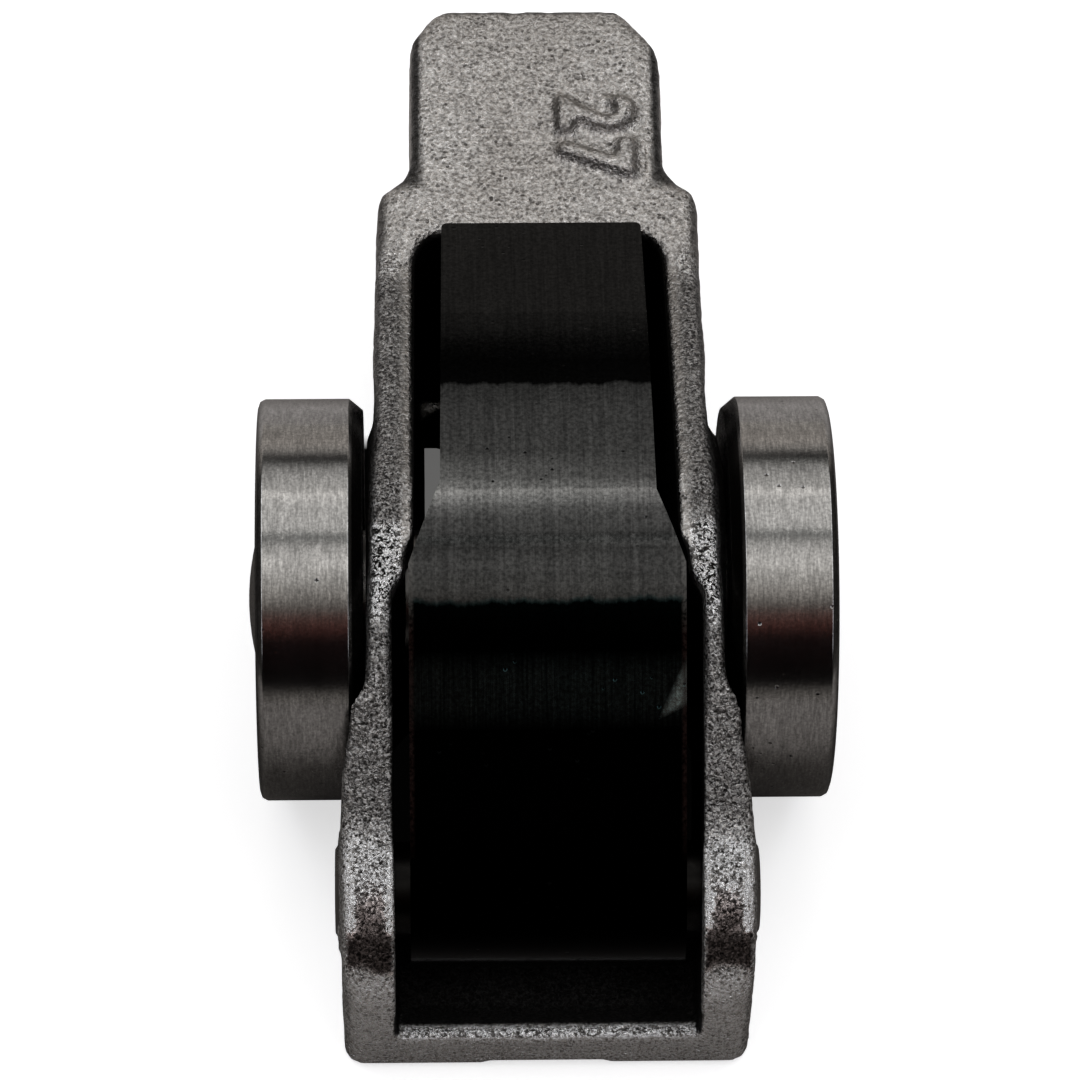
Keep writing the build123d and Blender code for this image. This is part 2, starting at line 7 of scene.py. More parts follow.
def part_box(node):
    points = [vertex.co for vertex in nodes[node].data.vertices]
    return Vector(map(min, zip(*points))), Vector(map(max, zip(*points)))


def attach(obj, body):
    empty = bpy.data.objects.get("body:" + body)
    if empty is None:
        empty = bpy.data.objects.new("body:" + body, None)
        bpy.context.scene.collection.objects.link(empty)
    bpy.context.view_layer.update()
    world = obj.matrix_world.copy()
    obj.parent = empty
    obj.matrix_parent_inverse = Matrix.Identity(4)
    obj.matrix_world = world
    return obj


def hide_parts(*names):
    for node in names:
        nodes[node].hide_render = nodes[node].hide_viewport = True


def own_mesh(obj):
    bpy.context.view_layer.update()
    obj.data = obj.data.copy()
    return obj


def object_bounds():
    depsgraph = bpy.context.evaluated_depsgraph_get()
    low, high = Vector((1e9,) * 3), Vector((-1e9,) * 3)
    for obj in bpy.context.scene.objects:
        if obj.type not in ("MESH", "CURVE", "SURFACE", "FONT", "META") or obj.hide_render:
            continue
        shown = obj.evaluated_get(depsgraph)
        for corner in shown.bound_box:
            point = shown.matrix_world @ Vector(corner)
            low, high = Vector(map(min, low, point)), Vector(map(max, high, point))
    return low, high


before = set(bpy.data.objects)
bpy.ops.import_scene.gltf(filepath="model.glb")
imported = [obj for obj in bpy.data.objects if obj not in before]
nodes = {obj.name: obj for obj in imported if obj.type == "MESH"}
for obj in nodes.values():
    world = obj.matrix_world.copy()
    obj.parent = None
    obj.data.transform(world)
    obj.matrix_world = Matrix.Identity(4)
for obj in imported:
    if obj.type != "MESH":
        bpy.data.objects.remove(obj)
cad_low, cad_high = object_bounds()

MM = 0.001
AY, AZ = -23.6, 7.4               # roller axle centre in the row frame, mm
PY, PZ = AY - 12.9, AZ - 2.6      # arm pivot
BASE = AZ - 9.0                   # underside of both feet
SY = AY + 8.2                     # spring axis
SEAT = AZ - 7.0                   # top of the spring seat
ROLL_R, ROLL_IN, ROLL_W = 8.75, 7.8, 4.55
SINK_R, SINK = 4.95, 0.3          # counterbore in the outer face
WASH = ROLL_IN + ROLL_W - SINK + 0.05


# ------------------------------------------------------------------ node helpers
class Mat:
    """Small helper that builds a node material."""

    def __init__(self, name):
        self.m = bpy.data.materials.new(name)
        self.m.use_nodes = True
        self.nt = self.m.node_tree
        self.nt.nodes.clear()
        self.out = self.n("ShaderNodeOutputMaterial")
        self.b = self.n("ShaderNodeBsdfPrincipled")
        self.nt.links.new(self.b.outputs["BSDF"], self.out.inputs["Surface"])
        self.co = self.n("ShaderNodeTexCoord").outputs["Object"]

    def n(self, kind, **props):
        node = self.nt.nodes.new(kind)
        for k, v in props.items():
            setattr(node, k, v)
        return node

    def link(self, a, b):
        self.nt.links.new(a, b)

    def put(self, socket, value):
        if isinstance(value, bpy.types.NodeSocket):
            self.nt.links.new(value, socket)
        else:
            socket.default_value = value

    def math(self, op, a, b=None, c=None, clamp=False):
        node = self.n("ShaderNodeMath", operation=op, use_clamp=clamp)
        self.put(node.inputs[0], a)
        if b is not None:
            self.put(node.inputs[1], b)
        if c is not None:
            self.put(node.inputs[2], c)
        return node.outputs[0]

    def scaled(self, sx, sy, sz, src=None):
        node = self.n("ShaderNodeMapping")
        self.put(node.inputs["Vector"], src if src is not None else self.co)
        node.inputs["Scale"].default_value = (sx, sy, sz)
        return node.outputs["Vector"]

    def noise(self, vec, scale=1.0, detail=2.0, rough=0.5, lac=2.0, distort=0.0):
        node = self.n("ShaderNodeTexNoise")
        self.put(node.inputs["Vector"], vec)
        node.inputs["Scale"].default_value = scale
        node.inputs["Detail"].default_value = detail
        node.inputs["Roughness"].default_value = rough
        node.inputs["Lacunarity"].default_value = lac
        node.inputs["Distortion"].default_value = distort
        return node.outputs["Fac"]

    def voronoi(self, vec, scale=1.0, feature="F1", rand=1.0):
        node = self.n("ShaderNodeTexVoronoi", feature=feature)
        self.put(node.inputs["Vector"], vec)
        node.inputs["Scale"].default_value = scale
        node.inputs["Randomness"].default_value = rand
        return node.outputs["Distance"]

    def ramp(self, fac, stops, interp="LINEAR"):
        node = self.n("ShaderNodeValToRGB")
        node.color_ramp.interpolation = interp
        els = node.color_ramp.elements
        while len(els) > 1:
            els.remove(els[-1])
        for i, (p, c) in enumerate(stops):
            e = els[0] if i == 0 else els.new(p)
            e.position = p
            e.color = (c, c, c, 1) if isinstance(c, (int, float)) else (*c, 1)
        self.put(node.inputs["Fac"], fac)
        return node.outputs["Color"]

    def remap(self, v, a, b, c, d):
        node = self.n("ShaderNodeMapRange", clamp=True)
        self.put(node.inputs["Value"], v)
        for k, x in zip(("From Min", "From Max", "To Min", "To Max"), (a, b, c, d)):
            node.inputs[k].default_value = x
        return node.outputs["Result"]

    def mix(self, fac, a, b, blend="MIX"):
        node = self.n("ShaderNodeMix", data_type="RGBA", blend_type=blend)
        self.put(node.inputs["Factor"], fac)
        for sock, v in ((node.inputs[6], a), (node.inputs[7], b)):
            if isinstance(v, tuple):
                sock.default_value = (*v, 1) if len(v) == 3 else v
            else:
                self.put(sock, v)
        return node.outputs[2]

    def bump(self, height, distance, strength=1.0, normal=None):
        node = self.n("ShaderNodeBump")
        node.inputs["Strength"].default_value = strength
        node.inputs["Distance"].default_value = distance
        self.put(node.inputs["Height"], height)
        if normal is not None:
            self.put(node.inputs["Normal"], normal)
        return node.outputs["Normal"]

    def set(self, **kw):
        names = {"color": "Base Color", "metal": "Metallic", "rough": "Roughness", "normal": "Normal",
                 "spec": "Specular IOR Level", "aniso": "Anisotropic", "tangent": "Tangent"}
        for k, v in kw.items():
            if isinstance(v, tuple) and len(v) == 3:
                v = (*v, 1)
            self.put(self.b.inputs[names[k]], v)
        return self.m


# ------------------------------------------------------------------ materials
def cast_steel():
    """Blasted, tumbled steel casting: salt-and-pepper grain, dark pits, painted glints on the crests and painted shade
    in the pocket.
    """
    m = Mat("cast_steel")
    grain = m.noise(m.co, 5200, 3, 0.70)
    flecks = m.noise(m.co, 8200, 2, 0.6)
    cells = m.voronoi(m.co, 4300, "F1")
    patch = m.noise(m.co, 1150, 3, 0.55)
    cloud = m.noise(m.co, 130, 3, 0.5)
    dent = m.math("MULTIPLY", m.remap(cells, 0.10, 0.40, 1.0, 0.0), m.remap(patch, 0.42, 0.62, 0.0, 1.0))
    h = m.math("SUBTRACT", grain, m.math("MULTIPLY", dent, 0.55))
    n1 = m.bump(patch, 0.00005, 0.5)
    n2 = m.bump(h, 0.000085, 1.0, n1)
    tone = m.ramp(grain, [
        (0.35, (0.18, 0.175, 0.168)), (0.45, (0.37, 0.362, 0.352)), (0.55, (0.52, 0.512, 0.50)), (0.65, (0.70, 0.692, 0.68)),
    ])
    tint = m.ramp(flecks, [(0.36, (0.72, 0.69, 0.665)), (0.5, (0.95, 0.94, 0.93)), (0.64, (1.0, 1.0, 1.0))])
    stain = m.ramp(cloud, [(0.32, (0.86, 0.84, 0.82)), (0.55, (1.0, 0.99, 0.98)), (0.75, (1.0, 1.0, 1.0))])
    col = m.mix(1.0, m.mix(1.0, tone, tint, "MULTIPLY"), stain, "MULTIPLY")
    col = m.mix(m.math("MULTIPLY", dent, 0.8), col, (0.09, 0.083, 0.077))
    # walls and crests keep a coarser, darker blasted skin than the tongue
    coarse = m.n("ShaderNodeAttribute", attribute_name="coarse").outputs["Fac"]
    squig = m.noise(m.co, 7400, 3, 0.68, 2.2, 0.8)
    hard = m.ramp(squig, [(0.38, (0.02, 0.018, 0.017)), (0.45, (0.22, 0.212, 0.205)), (0.52, (0.62, 0.61, 0.60)), (0.59, (1.25, 1.24, 1.22))])
    worm = m.noise(m.co, 5200, 2, 0.6, 2.2, 1.1)
    glitter = m.ramp(worm, [(0.44, (0.005, 0.005, 0.004)), (0.475, (0.16, 0.156, 0.152)), (0.503, (0.95, 0.95, 0.95)), (0.535, (3.0, 3.03, 3.06))])
    # on the crests the grain takes painted glints, brighter than any steel colour
    crest_glint = m.n("ShaderNodeAttribute", attribute_name="crest_glint").outputs["Fac"]
    hard = m.mix(crest_glint, hard, glitter)
    black = m.math("MULTIPLY", m.remap(m.voronoi(m.co, 4800, "F1"), 0.14, 0.32, 1.0, 0.0), m.remap(patch, 0.40, 0.52, 0.0, 1.0))
    rugged = m.mix(m.math("MULTIPLY", black, 0.9), m.mix(1.0, hard, tint, "MULTIPLY"), (0.02, 0.018, 0.017))
    col = m.mix(coarse, col, rugged)
    # painted light and shade, set per point in the casting step
    shade = m.n("ShaderNodeAttribute", attribute_name="shade").outputs["Color"]
    col = m.mix(1.0, col, shade, "MULTIPLY")
    # painted shade: inside the pocket the casting is darkened to near black
    pocket_shade = m.n("ShaderNodeAttribute", attribute_name="pocket").outputs["Fac"]
    col = m.mix(m.math("MULTIPLY", pocket_shade, 0.985), col, (0.004, 0.0038, 0.0036))
    rough = m.math("ADD", m.remap(grain, 0.3, 0.7, 0.36, 0.23), m.remap(cloud, 0.3, 0.7, 0.03, -0.03))
    rough = m.math("SUBTRACT", rough, m.math("MULTIPLY", crest_glint, 0.08))
    rough = m.math("ADD", rough, m.math("MULTIPLY", pocket_shade, 0.45))
    deep = m.math("MULTIPLY", coarse, m.math("SUBTRACT", squig, m.math("MULTIPLY", black, 0.6)))
    n3 = m.bump(deep, 0.00010, 1.0, n2)
    return m.set(color=col, metal=1.0, rough=rough, normal=n3)


def coated():
    """Black hard coating on a ground arm. The pad carries painted highlights, and painted shade darkens it beyond two
    ragged lines.
    """
    m = Mat("black_coating")
    sep = m.n("ShaderNodeSeparateXYZ")
    m.link(m.co, sep.inputs[0])
    lines = m.noise(m.scaled(9500, 240, 240), 1.0, 3, 0.65)
    streak = m.noise(m.scaled(7200, 160, 160), 1.0, 3, 0.65)
    speck = m.noise(m.co, 6500, 2, 0.65)
    cloud = m.noise(m.co, 190, 3, 0.55)
    ragged = m.noise(m.scaled(700, 120, 120), 1.0, 4, 0.7)
    pits = m.voronoi(m.co, 1700, "F1")
    keep = m.noise(m.co, 300, 1, 0.5)
    pit = m.math("MULTIPLY", m.remap(pits, 0.06, 0.15, 1.0, 0.0), m.remap(keep, 0.54, 0.62, 0.0, 1.0))
    base = m.ramp(streak, [(0.32, (0.034, 0.034, 0.0335)), (0.5, (0.046, 0.046, 0.045)), (0.68, (0.060, 0.060, 0.059))])
    mott = m.ramp(speck, [(0.34, 0.62), (0.5, 1.0), (0.66, 1.4)])
    var = m.ramp(cloud, [(0.3, 0.9), (0.7, 1.08)])
    col = m.mix(1.0, m.mix(1.0, base, mott, "MULTIPLY"), var, "MULTIPLY")
    # where along the arm, mm from the roller axle, with a ragged shift
    y = m.math("SUBTRACT", m.math("MULTIPLY", sep.outputs["Y"], 1000.0), AY)
    yr = m.math("ADD", y, m.math("MULTIPLY", m.math("SUBTRACT", ragged, 0.5), 0.9))
    # painted light: the pad's brightness fades towards its near edge, with painted highlights along the crest, brighter
    # on one side, and in narrow bands across the pad
    fade_shade = m.remap(y, -4.6, 0.5, 0.62, 1.0)
    crest_glint = m.math("MULTIPLY", m.remap(y, -1.1, -0.3, 0.0, 1.0), m.remap(y, 1.3, 2.4, 1.0, 0.0))
    crest_glint = m.math("MULTIPLY", crest_glint, m.remap(sep.outputs["X"], -0.0046, 0.0045, 1.25, 0.40))
    band_highlight = m.math("MULTIPLY", m.remap(y, -2.32, -1.98, 0.0, 1.0), m.remap(y, -1.92, -1.72, 1.0, 0.0))
    shine_highlight = m.math("MULTIPLY", m.remap(y, -0.45, -0.20, 0.0, 1.0), m.remap(y, 0.75, 1.0, 1.0, 0.0))
    lift = m.math("MULTIPLY", m.remap(y, -3.85, -3.45, 1.0, 0.0), m.remap(y, -4.6, -4.3, 0.0, 1.0))
    extra = m.math("ADD", m.math("MULTIPLY", shine_highlight, 0.75), m.math("MULTIPLY", lift, 0.5))
    painted_gain = m.math("MULTIPLY", fade_shade, m.math("ADD", m.math("ADD", m.math("ADD", 1.0, crest_glint), extra), m.math("MULTIPLY", band_highlight, 1.7)))
    top_edge_shade = m.math("MULTIPLY", m.remap(yr, 5.95, 6.15, 0.0, 1.0), m.remap(y, 7.4, 8.9, 0.98, 0.64))
    low_edge_shade = m.remap(yr, -4.55, -4.30, 1.0, 0.0)
    shaded_area = m.math("ADD", low_edge_shade, top_edge_shade, clamp=True)
    # painted shade: deep black below the near line, with two faint strips of painted reflection across it
    haze_reflection = m.math("MULTIPLY", m.remap(y, -8.9, -8.1, 0.0, 1.0), m.remap(y, -7.0, -6.2, 1.0, 0.0))
    # a painted reflection patch at one side, and painted shade deepening towards the hub
    patch = m.math("MULTIPLY", m.math("MULTIPLY", m.remap(m.math("MULTIPLY_ADD", sep.outputs["X"], -390.0, y), -10.42, -10.16, 0.0, 1.0), m.remap(y, -6.9, -6.1, 1.0, 0.0)),
                   m.remap(m.math("SUBTRACT", m.math("MULTIPLY", sep.outputs["X"], 1000.0), m.math("MULTIPLY_ADD", y, 0.55, 9.45)), -0.12, 0.22, 0.0, 1.0))
    shaded_level = m.math("ADD", 0.03, m.math("MULTIPLY", haze_reflection, m.remap(streak, 0.35, 0.65, 0.5, 1.5)))
    shaded_level = m.math("ADD", m.math("MULTIPLY", shaded_level, m.remap(y, -13.5, -12.0, 0.03, 1.0)), m.math("MULTIPLY", patch, 18.0))
    amount = m.math("MULTIPLY", painted_gain, m.math("ADD", m.math("SUBTRACT", 1.0, shaded_area), m.math("MULTIPLY", shaded_area, shaded_level)))
    scale = m.n("ShaderNodeCombineXYZ")
    for k in range(3):
        m.link(amount, scale.inputs[k])
    col = m.mix(1.0, col, scale.outputs[0], "MULTIPLY")
    # painted reflection: below the near line the colour is tinted cool
    col = m.mix(low_edge_shade, col, m.mix(1.0, col, (0.62, 1.25, 1.30), "MULTIPLY"))
    # painted highlight along both long edges beside the pad
    side = m.remap(m.math("ABSOLUTE", sep.outputs["X"]), 0.00562, 0.00574, 0.0, 1.0)
    side = m.math("MULTIPLY", side, m.math("MULTIPLY", m.remap(y, -13.5, -12.0, 0.0, 1.0), m.remap(y, -2.0, -0.5, 1.0, 0.0)))
    col = m.mix(m.math("MULTIPLY", side, m.remap(speck, 0.35, 0.6, 0.1, 0.8)), col, (0.07, 0.068, 0.066))
    col = m.mix(pit, col, (0.003, 0.003, 0.003))
    rough = m.math("ADD", m.remap(speck, 0.3, 0.7, 0.085, 0.13), m.remap(cloud, 0.3, 0.7, -0.01, 0.02))
    rough = m.math("ADD", rough, m.math("MULTIPLY", shaded_area, 0.08))
    n1 = m.bump(lines, 0.0000018, 0.7)
    n2 = m.bump(speck, 0.0000020, 0.5, n1)
    n3 = m.bump(m.math("SUBTRACT", 1.0, pit), 0.00002, 0.7, n2)
    return m.set(color=col, metal=1.0, rough=rough, normal=n3)


def ground_roller():
    """Ground bearing steel: fine rings round the axle, pits, hairline scratches, unground chamfers."""
    m = Mat("roller_steel")
    sep = m.n("ShaderNodeSeparateXYZ")
    m.link(m.co, sep.inputs[0])
    x = sep.outputs["X"]
    y = m.math("SUBTRACT", sep.outputs["Y"], AY * MM)
    z = m.math("SUBTRACT", sep.outputs["Z"], AZ * MM)
    ang = m.math("ARCTAN2", y, z)
    rad = m.math("SQRT", m.math("ADD", m.math("MULTIPLY", y, y), m.math("MULTIPLY", z, z)))

    def wrapped(sx, sa):
        com = m.n("ShaderNodeCombineXYZ")
        m.link(m.math("MULTIPLY", x, sx), com.inputs[0])
        m.link(m.math("MULTIPLY", ang, sa), com.inputs[1])
        m.link(m.math("MULTIPLY", rad, sx), com.inputs[2])
        return com.outputs[0]

    rings = m.noise(wrapped(9000, 9.0), 1.0, 3, 0.65)
    lines = m.noise(wrapped(9800, 13.0), 1.0, 3, 0.75)
    broad = m.noise(wrapped(1500, 3.0), 1.0, 2, 0.5)
    speck = m.noise(m.co, 8200, 2, 0.65)
    cloud = m.noise(m.co, 300, 3, 0.6)
    pits = m.voronoi(m.co, 1500, "F1")
    keep = m.noise(m.co, 420, 1, 0.5)
    pit = m.math("MULTIPLY", m.remap(pits, 0.05, 0.14, 1.0, 0.0), m.remap(keep, 0.53, 0.60, 0.0, 1.0))
    # hairline scratches: thin contour lines of a smooth noise, only in a few patches
    wander = m.noise(wrapped(420, 9.0), 1.0, 2, 0.5)
    where = m.noise(m.co, 240, 1, 0.5)
    hair = m.math("MULTIPLY", m.remap(m.math("ABSOLUTE", m.math("SUBTRACT", wander, 0.5)), 0.001, 0.0045, 1.0, 0.0), m.remap(where, 0.68, 0.72, 0.0, 1.0))
    base = m.ramp(lines, [(0.34, (0.222, 0.217, 0.210)), (0.5, (0.312, 0.305, 0.296)), (0.66, (0.410, 0.402, 0.391))])
    fleck = m.ramp(speck, [(0.34, 0.76), (0.5, 1.0), (0.66, 1.20)])
    var = m.ramp(broad, [(0.3, 0.90), (0.7, 1.08)])
    col = m.mix(1.0, m.mix(1.0, base, fleck, "MULTIPLY"), var, "MULTIPLY")
    # only the outer cylinder is ground bright; chamfers and end faces keep a dark skin, and painted shade darkens the
    # inner face and chamfer beside the wall further
    skin = m.remap(rad, (ROLL_R - 0.14) * MM, (ROLL_R - 0.04) * MM, 1.0, 0.0)
    black = m.remap(m.math("ABSOLUTE", x), (ROLL_IN + 0.60) * MM, (ROLL_IN + 0.66) * MM, 1.0, 0.0)
    col = m.mix(skin, col, m.mix(black, (0.055, 0.052, 0.049), (0.012, 0.011, 0.010)))
    col = m.mix(m.math("MAXIMUM", pit, m.math("MULTIPLY", hair, 0.35)), col, (0.03, 0.027, 0.025))
    rough = m.math("ADD", m.remap(lines, 0.3, 0.7, 0.165, 0.135), m.remap(cloud, 0.3, 0.7, -0.01, 0.02))
    rough = m.math("ADD", rough, m.math("MULTIPLY", skin, 0.12))
    n1 = m.bump(rings, 0.0000020, 0.8)
    n2 = m.bump(speck, 0.0000040, 0.5, n1)
    n3 = m.bump(m.math("SUBTRACT", 1.0, pit), 0.00003, 0.8, n2)
    return m.set(color=col, metal=1.0, rough=rough, normal=n3)


def turned(name, tint, scale=6000, rough=(0.24, 0.36), axis="X", shaded_span=None):
    """Turned or pressed steel with fine rings and dull patches; an optional middle stretch along X is darkened with
    painted shade.
    """
    m = Mat(name)
    rings = m.noise(m.scaled(*((scale, 90, 90) if axis == "X" else (scale * 0.25, scale * 0.25, scale))), 1.0, 3, 0.6)
    fine = m.noise(m.co, 2600, 3, 0.6)
    cloud = m.noise(m.co, 350, 3, 0.55)
    lo = tuple(c * 0.72 for c in tint)
    hi = tuple(min(1.0, c * 1.22) for c in tint)
    col = m.ramp(cloud, [(0.28, lo), (0.5, tint), (0.74, hi)])
    r = m.math("ADD", m.remap(fine, 0.3, 0.7, *rough), m.remap(cloud, 0.3, 0.7, 0.03, -0.03))
    # painted shade on the middle of the pin, between the walls
    if shaded_span is not None:
        sep = m.n("ShaderNodeSeparateXYZ")
        m.link(m.co, sep.inputs[0])
        inside_shade = m.remap(m.math("ABSOLUTE", sep.outputs["X"]), (shaded_span - 0.5) * MM, shaded_span * MM, 1.0, 0.0)
        col = m.mix(inside_shade, col, (0.010, 0.0095, 0.009))
    n1 = m.bump(rings, 0.000005, 0.6)
    n2 = m.bump(fine, 0.000012, 0.5, n1)
    return m.set(color=col, metal=1.0, rough=r, normal=n2)


M_CAST = cast_steel()
M_COAT = coated()
M_ROLL = ground_roller()
M_PIN = turned("pin_steel", (0.30, 0.29, 0.278))
M_CROSS = turned("cross_pin_steel", (0.30, 0.29, 0.278), shaded_span=7.2)
M_WASH = turned("washer_steel", (0.16, 0.152, 0.144), 4200, (0.34, 0.48))
M_WIRE = turned("spring_wire", (0.25, 0.24, 0.23), 3000, (0.3, 0.42), "Z")


# ------------------------------------------------------------------ mesh helpers
def mesh_object(name, verts_mm, faces, mat, smooth=True, sharp=None):
    me = bpy.data.meshes.new(name)
    me.from_pydata([tuple(v) for v in (np.asarray(verts_mm, float) * MM)], [], [tuple(f) for f in faces])
    me.validate()
    me.update()
    o = bpy.data.objects.new(name, me)
    bpy.context.scene.collection.objects.link(o)
    me.materials.append(mat)
    if smooth:
        me.polygons.foreach_set("use_smooth", [True] * len(me.polygons))
        if sharp is not None:
            me.set_sharp_from_angle(angle=math.radians(sharp))
    return o


def rounded(points, radii, steps=4):
    """Closed 2D polyline with its corners rounded. radii: one number or one per point."""
    n = len(points)
    if isinstance(radii, (int, float)):
        radii = [radii] * n
    out = []
    P = [np.array(p, float) for p in points]
    for i in range(n):
        a, b, c = P[i - 1], P[i], P[(i + 1) % n]
        r = radii[i]
        u, v = a - b, c - b
        lu, lv = np.linalg.norm(u), np.linalg.norm(v)
        if r <= 0 or lu < 1e-9 or lv < 1e-9:
            out.append(b)
            continue
        u, v = u / lu, v / lv
        cosang = float(np.clip(u @ v, -1, 1))
        half = math.acos(cosang) / 2
        if half > math.radians(88):
            out.append(b)
            continue
        d = min(r / math.tan(half), lu * 0.45, lv * 0.45)
        for k in range(steps + 1):
            t = k / steps
            out.append((1 - t) ** 2 * (b + u * d) + 2 * t * (1 - t) * b + t ** 2 * (b + v * d))
    return out


def lathe(name, profile, mat, cy, cz, seg=160, axis="X", closed=True):
    """Revolve a closed profile of (along, radius) about the X axis through (cy, cz), or about Z through (0, cy)."""
    prof = [tuple(p) for p in profile]
    n = len(prof)
    verts, faces = [], []
    ring = []
    for (a, r) in prof:
        if r < 1e-6:
            ring.append([len(verts)])
            verts.append((a, cy, cz) if axis == "X" else (0, cy, a))
        else:
            start = len(verts)
            for k in range(seg):
                t = 2 * math.pi * k / seg
                if axis == "X":
                    verts.append((a, cy + r * math.cos(t), cz + r * math.sin(t)))
                elif axis == "Y":
                    verts.append((r * math.cos(t), a, cz + r * math.sin(t)))
                else:
                    verts.append((r * math.cos(t), cy + r * math.sin(t), a))
            ring.append(list(range(start, start + seg)))
    if axis == "Y":
        for i, (a, r) in enumerate(prof):
            if r < 1e-6:
                verts[ring[i][0]] = (0, a, cz)
    last = n if closed else n - 1
    for i in range(last):
        A, B = ring[i], ring[(i + 1) % n]
        if len(A) == 1 and len(B) == 1:
            continue
        for k in range(seg):
            k2 = (k + 1) % seg
            if len(A) == 1:
                faces.append((A[0], B[k2], B[k]))
            elif len(B) == 1:
                faces.append((A[k], A[k2], B[0]))
            else:
                faces.append((A[k], A[k2], B[k2], B[k]))
    o = mesh_object(name, verts, faces, mat)
    me = o.data
    import bmesh
    bm = bmesh.new()
    bm.from_mesh(me)
    bmesh.ops.recalc_face_normals(bm, faces=bm.faces)
    bm.to_mesh(me)
    bm.free()
    me.polygons.foreach_set("use_smooth", [True] * len(me.polygons))
    me.set_sharp_from_angle(angle=math.radians(50))
    w = o.modifiers.new("weighted", "WEIGHTED_NORMAL")
    w.keep_sharp = True
    return o


def tube(name, path, radius, mat, sides=14, flat=None):
    """Solid round wire along a list of points. flat=(low, high) grinds both ends square in Z."""
    P = np.asarray(path, float)
    T = np.gradient(P, axis=0)
    T /= np.linalg.norm(T, axis=1)[:, None]
    up = np.array([0.0, 0.0, 1.0])
    verts, faces = [], []
    nvec = np.cross(up, T[0])
    if np.linalg.norm(nvec) < 1e-3:
        nvec = np.cross(np.array([1.0, 0, 0]), T[0])
    nvec /= np.linalg.norm(nvec)
    for i, (p, t) in enumerate(zip(P, T)):
        nvec = nvec - t * (nvec @ t)
        nvec /= np.linalg.norm(nvec)
        b = np.cross(t, nvec)
        for k in range(sides):
            a = 2 * math.pi * k / sides
            verts.append(p + radius * (math.cos(a) * nvec + math.sin(a) * b))
    m = len(P)
    for i in range(m - 1):
        for k in range(sides):
            k2 = (k + 1) % sides
            faces.append((i * sides + k, i * sides + k2, (i + 1) * sides + k2, (i + 1) * sides + k))
    faces.append(tuple(reversed(range(sides))))
    faces.append(tuple(range((m - 1) * sides, m * sides)))
    V = np.array(verts)
    if flat is not None:
        ax = flat[2] if len(flat) > 2 else 2
        V[:, ax] = np.clip(V[:, ax], flat[0], flat[1])
    return mesh_object(name, V, faces, mat, sharp=60)


def helix(radius, wire, low, high, turns, centre, left=False, axis="Z", dead=0.9, steps=56):
    """Centre line of a compression spring with closed, ground end coils."""
    total = int(turns * steps)
    t = np.linspace(0, turns, total)
    # height eased so the last coil at each end lies flat
    z0, z1 = low + wire * 0.34, high - wire * 0.34
    rate = np.where(t < dead, 0.22, np.where(t > turns - dead, 0.22, 1.0))
    k = np.ones(25) / 25
    rate = np.convolve(np.pad(rate, 12, mode="edge"), k, mode="valid")
    h = np.concatenate([[0], np.cumsum((rate[1:] + rate[:-1]) / 2)])
    h = z0 + (z1 - z0) * h / h[-1]
    a = 2 * math.pi * t * (-1 if left else 1)
    if axis == "Z":
        return np.stack([centre[0] + radius * np.cos(a), centre[1] + radius * np.sin(a), h], 1)
    return np.stack([centre[0] + radius * np.cos(a), h, centre[1] + radius * np.sin(a)], 1)


# smooth lattice noise for casting skins, the same on every run
def value_noise(P, scale, seed):
    Q = P / scale
    I = np.floor(Q).astype(np.int64)
    F = Q - I
    F = F * F * (3 - 2 * F)
    out = np.zeros(len(P))
    for dx in (0, 1):
        for dy in (0, 1):
            for dz in (0, 1):
                h = ((I[:, 0] + dx) * 73856093) ^ ((I[:, 1] + dy) * 19349663) ^ ((I[:, 2] + dz) * 83492791) ^ (seed * 2654435761)
                h = (h ^ (h >> 13)) * 1274126177
                h = (h ^ (h >> 16)) & 0xFFFFFF
                v = h / float(0xFFFFFF) * 2 - 1
                w = (F[:, 0] if dx else 1 - F[:, 0]) * (F[:, 1] if dy else 1 - F[:, 1]) * (F[:, 2] if dz else 1 - F[:, 2])
                out += v * w
    return out


# ------------------------------------------------------------------ the casting
def ramp01(v, a, b):
    t = np.clip((v - a) / (b - a), 0, 1)
    return t * t * (3 - 2 * t)


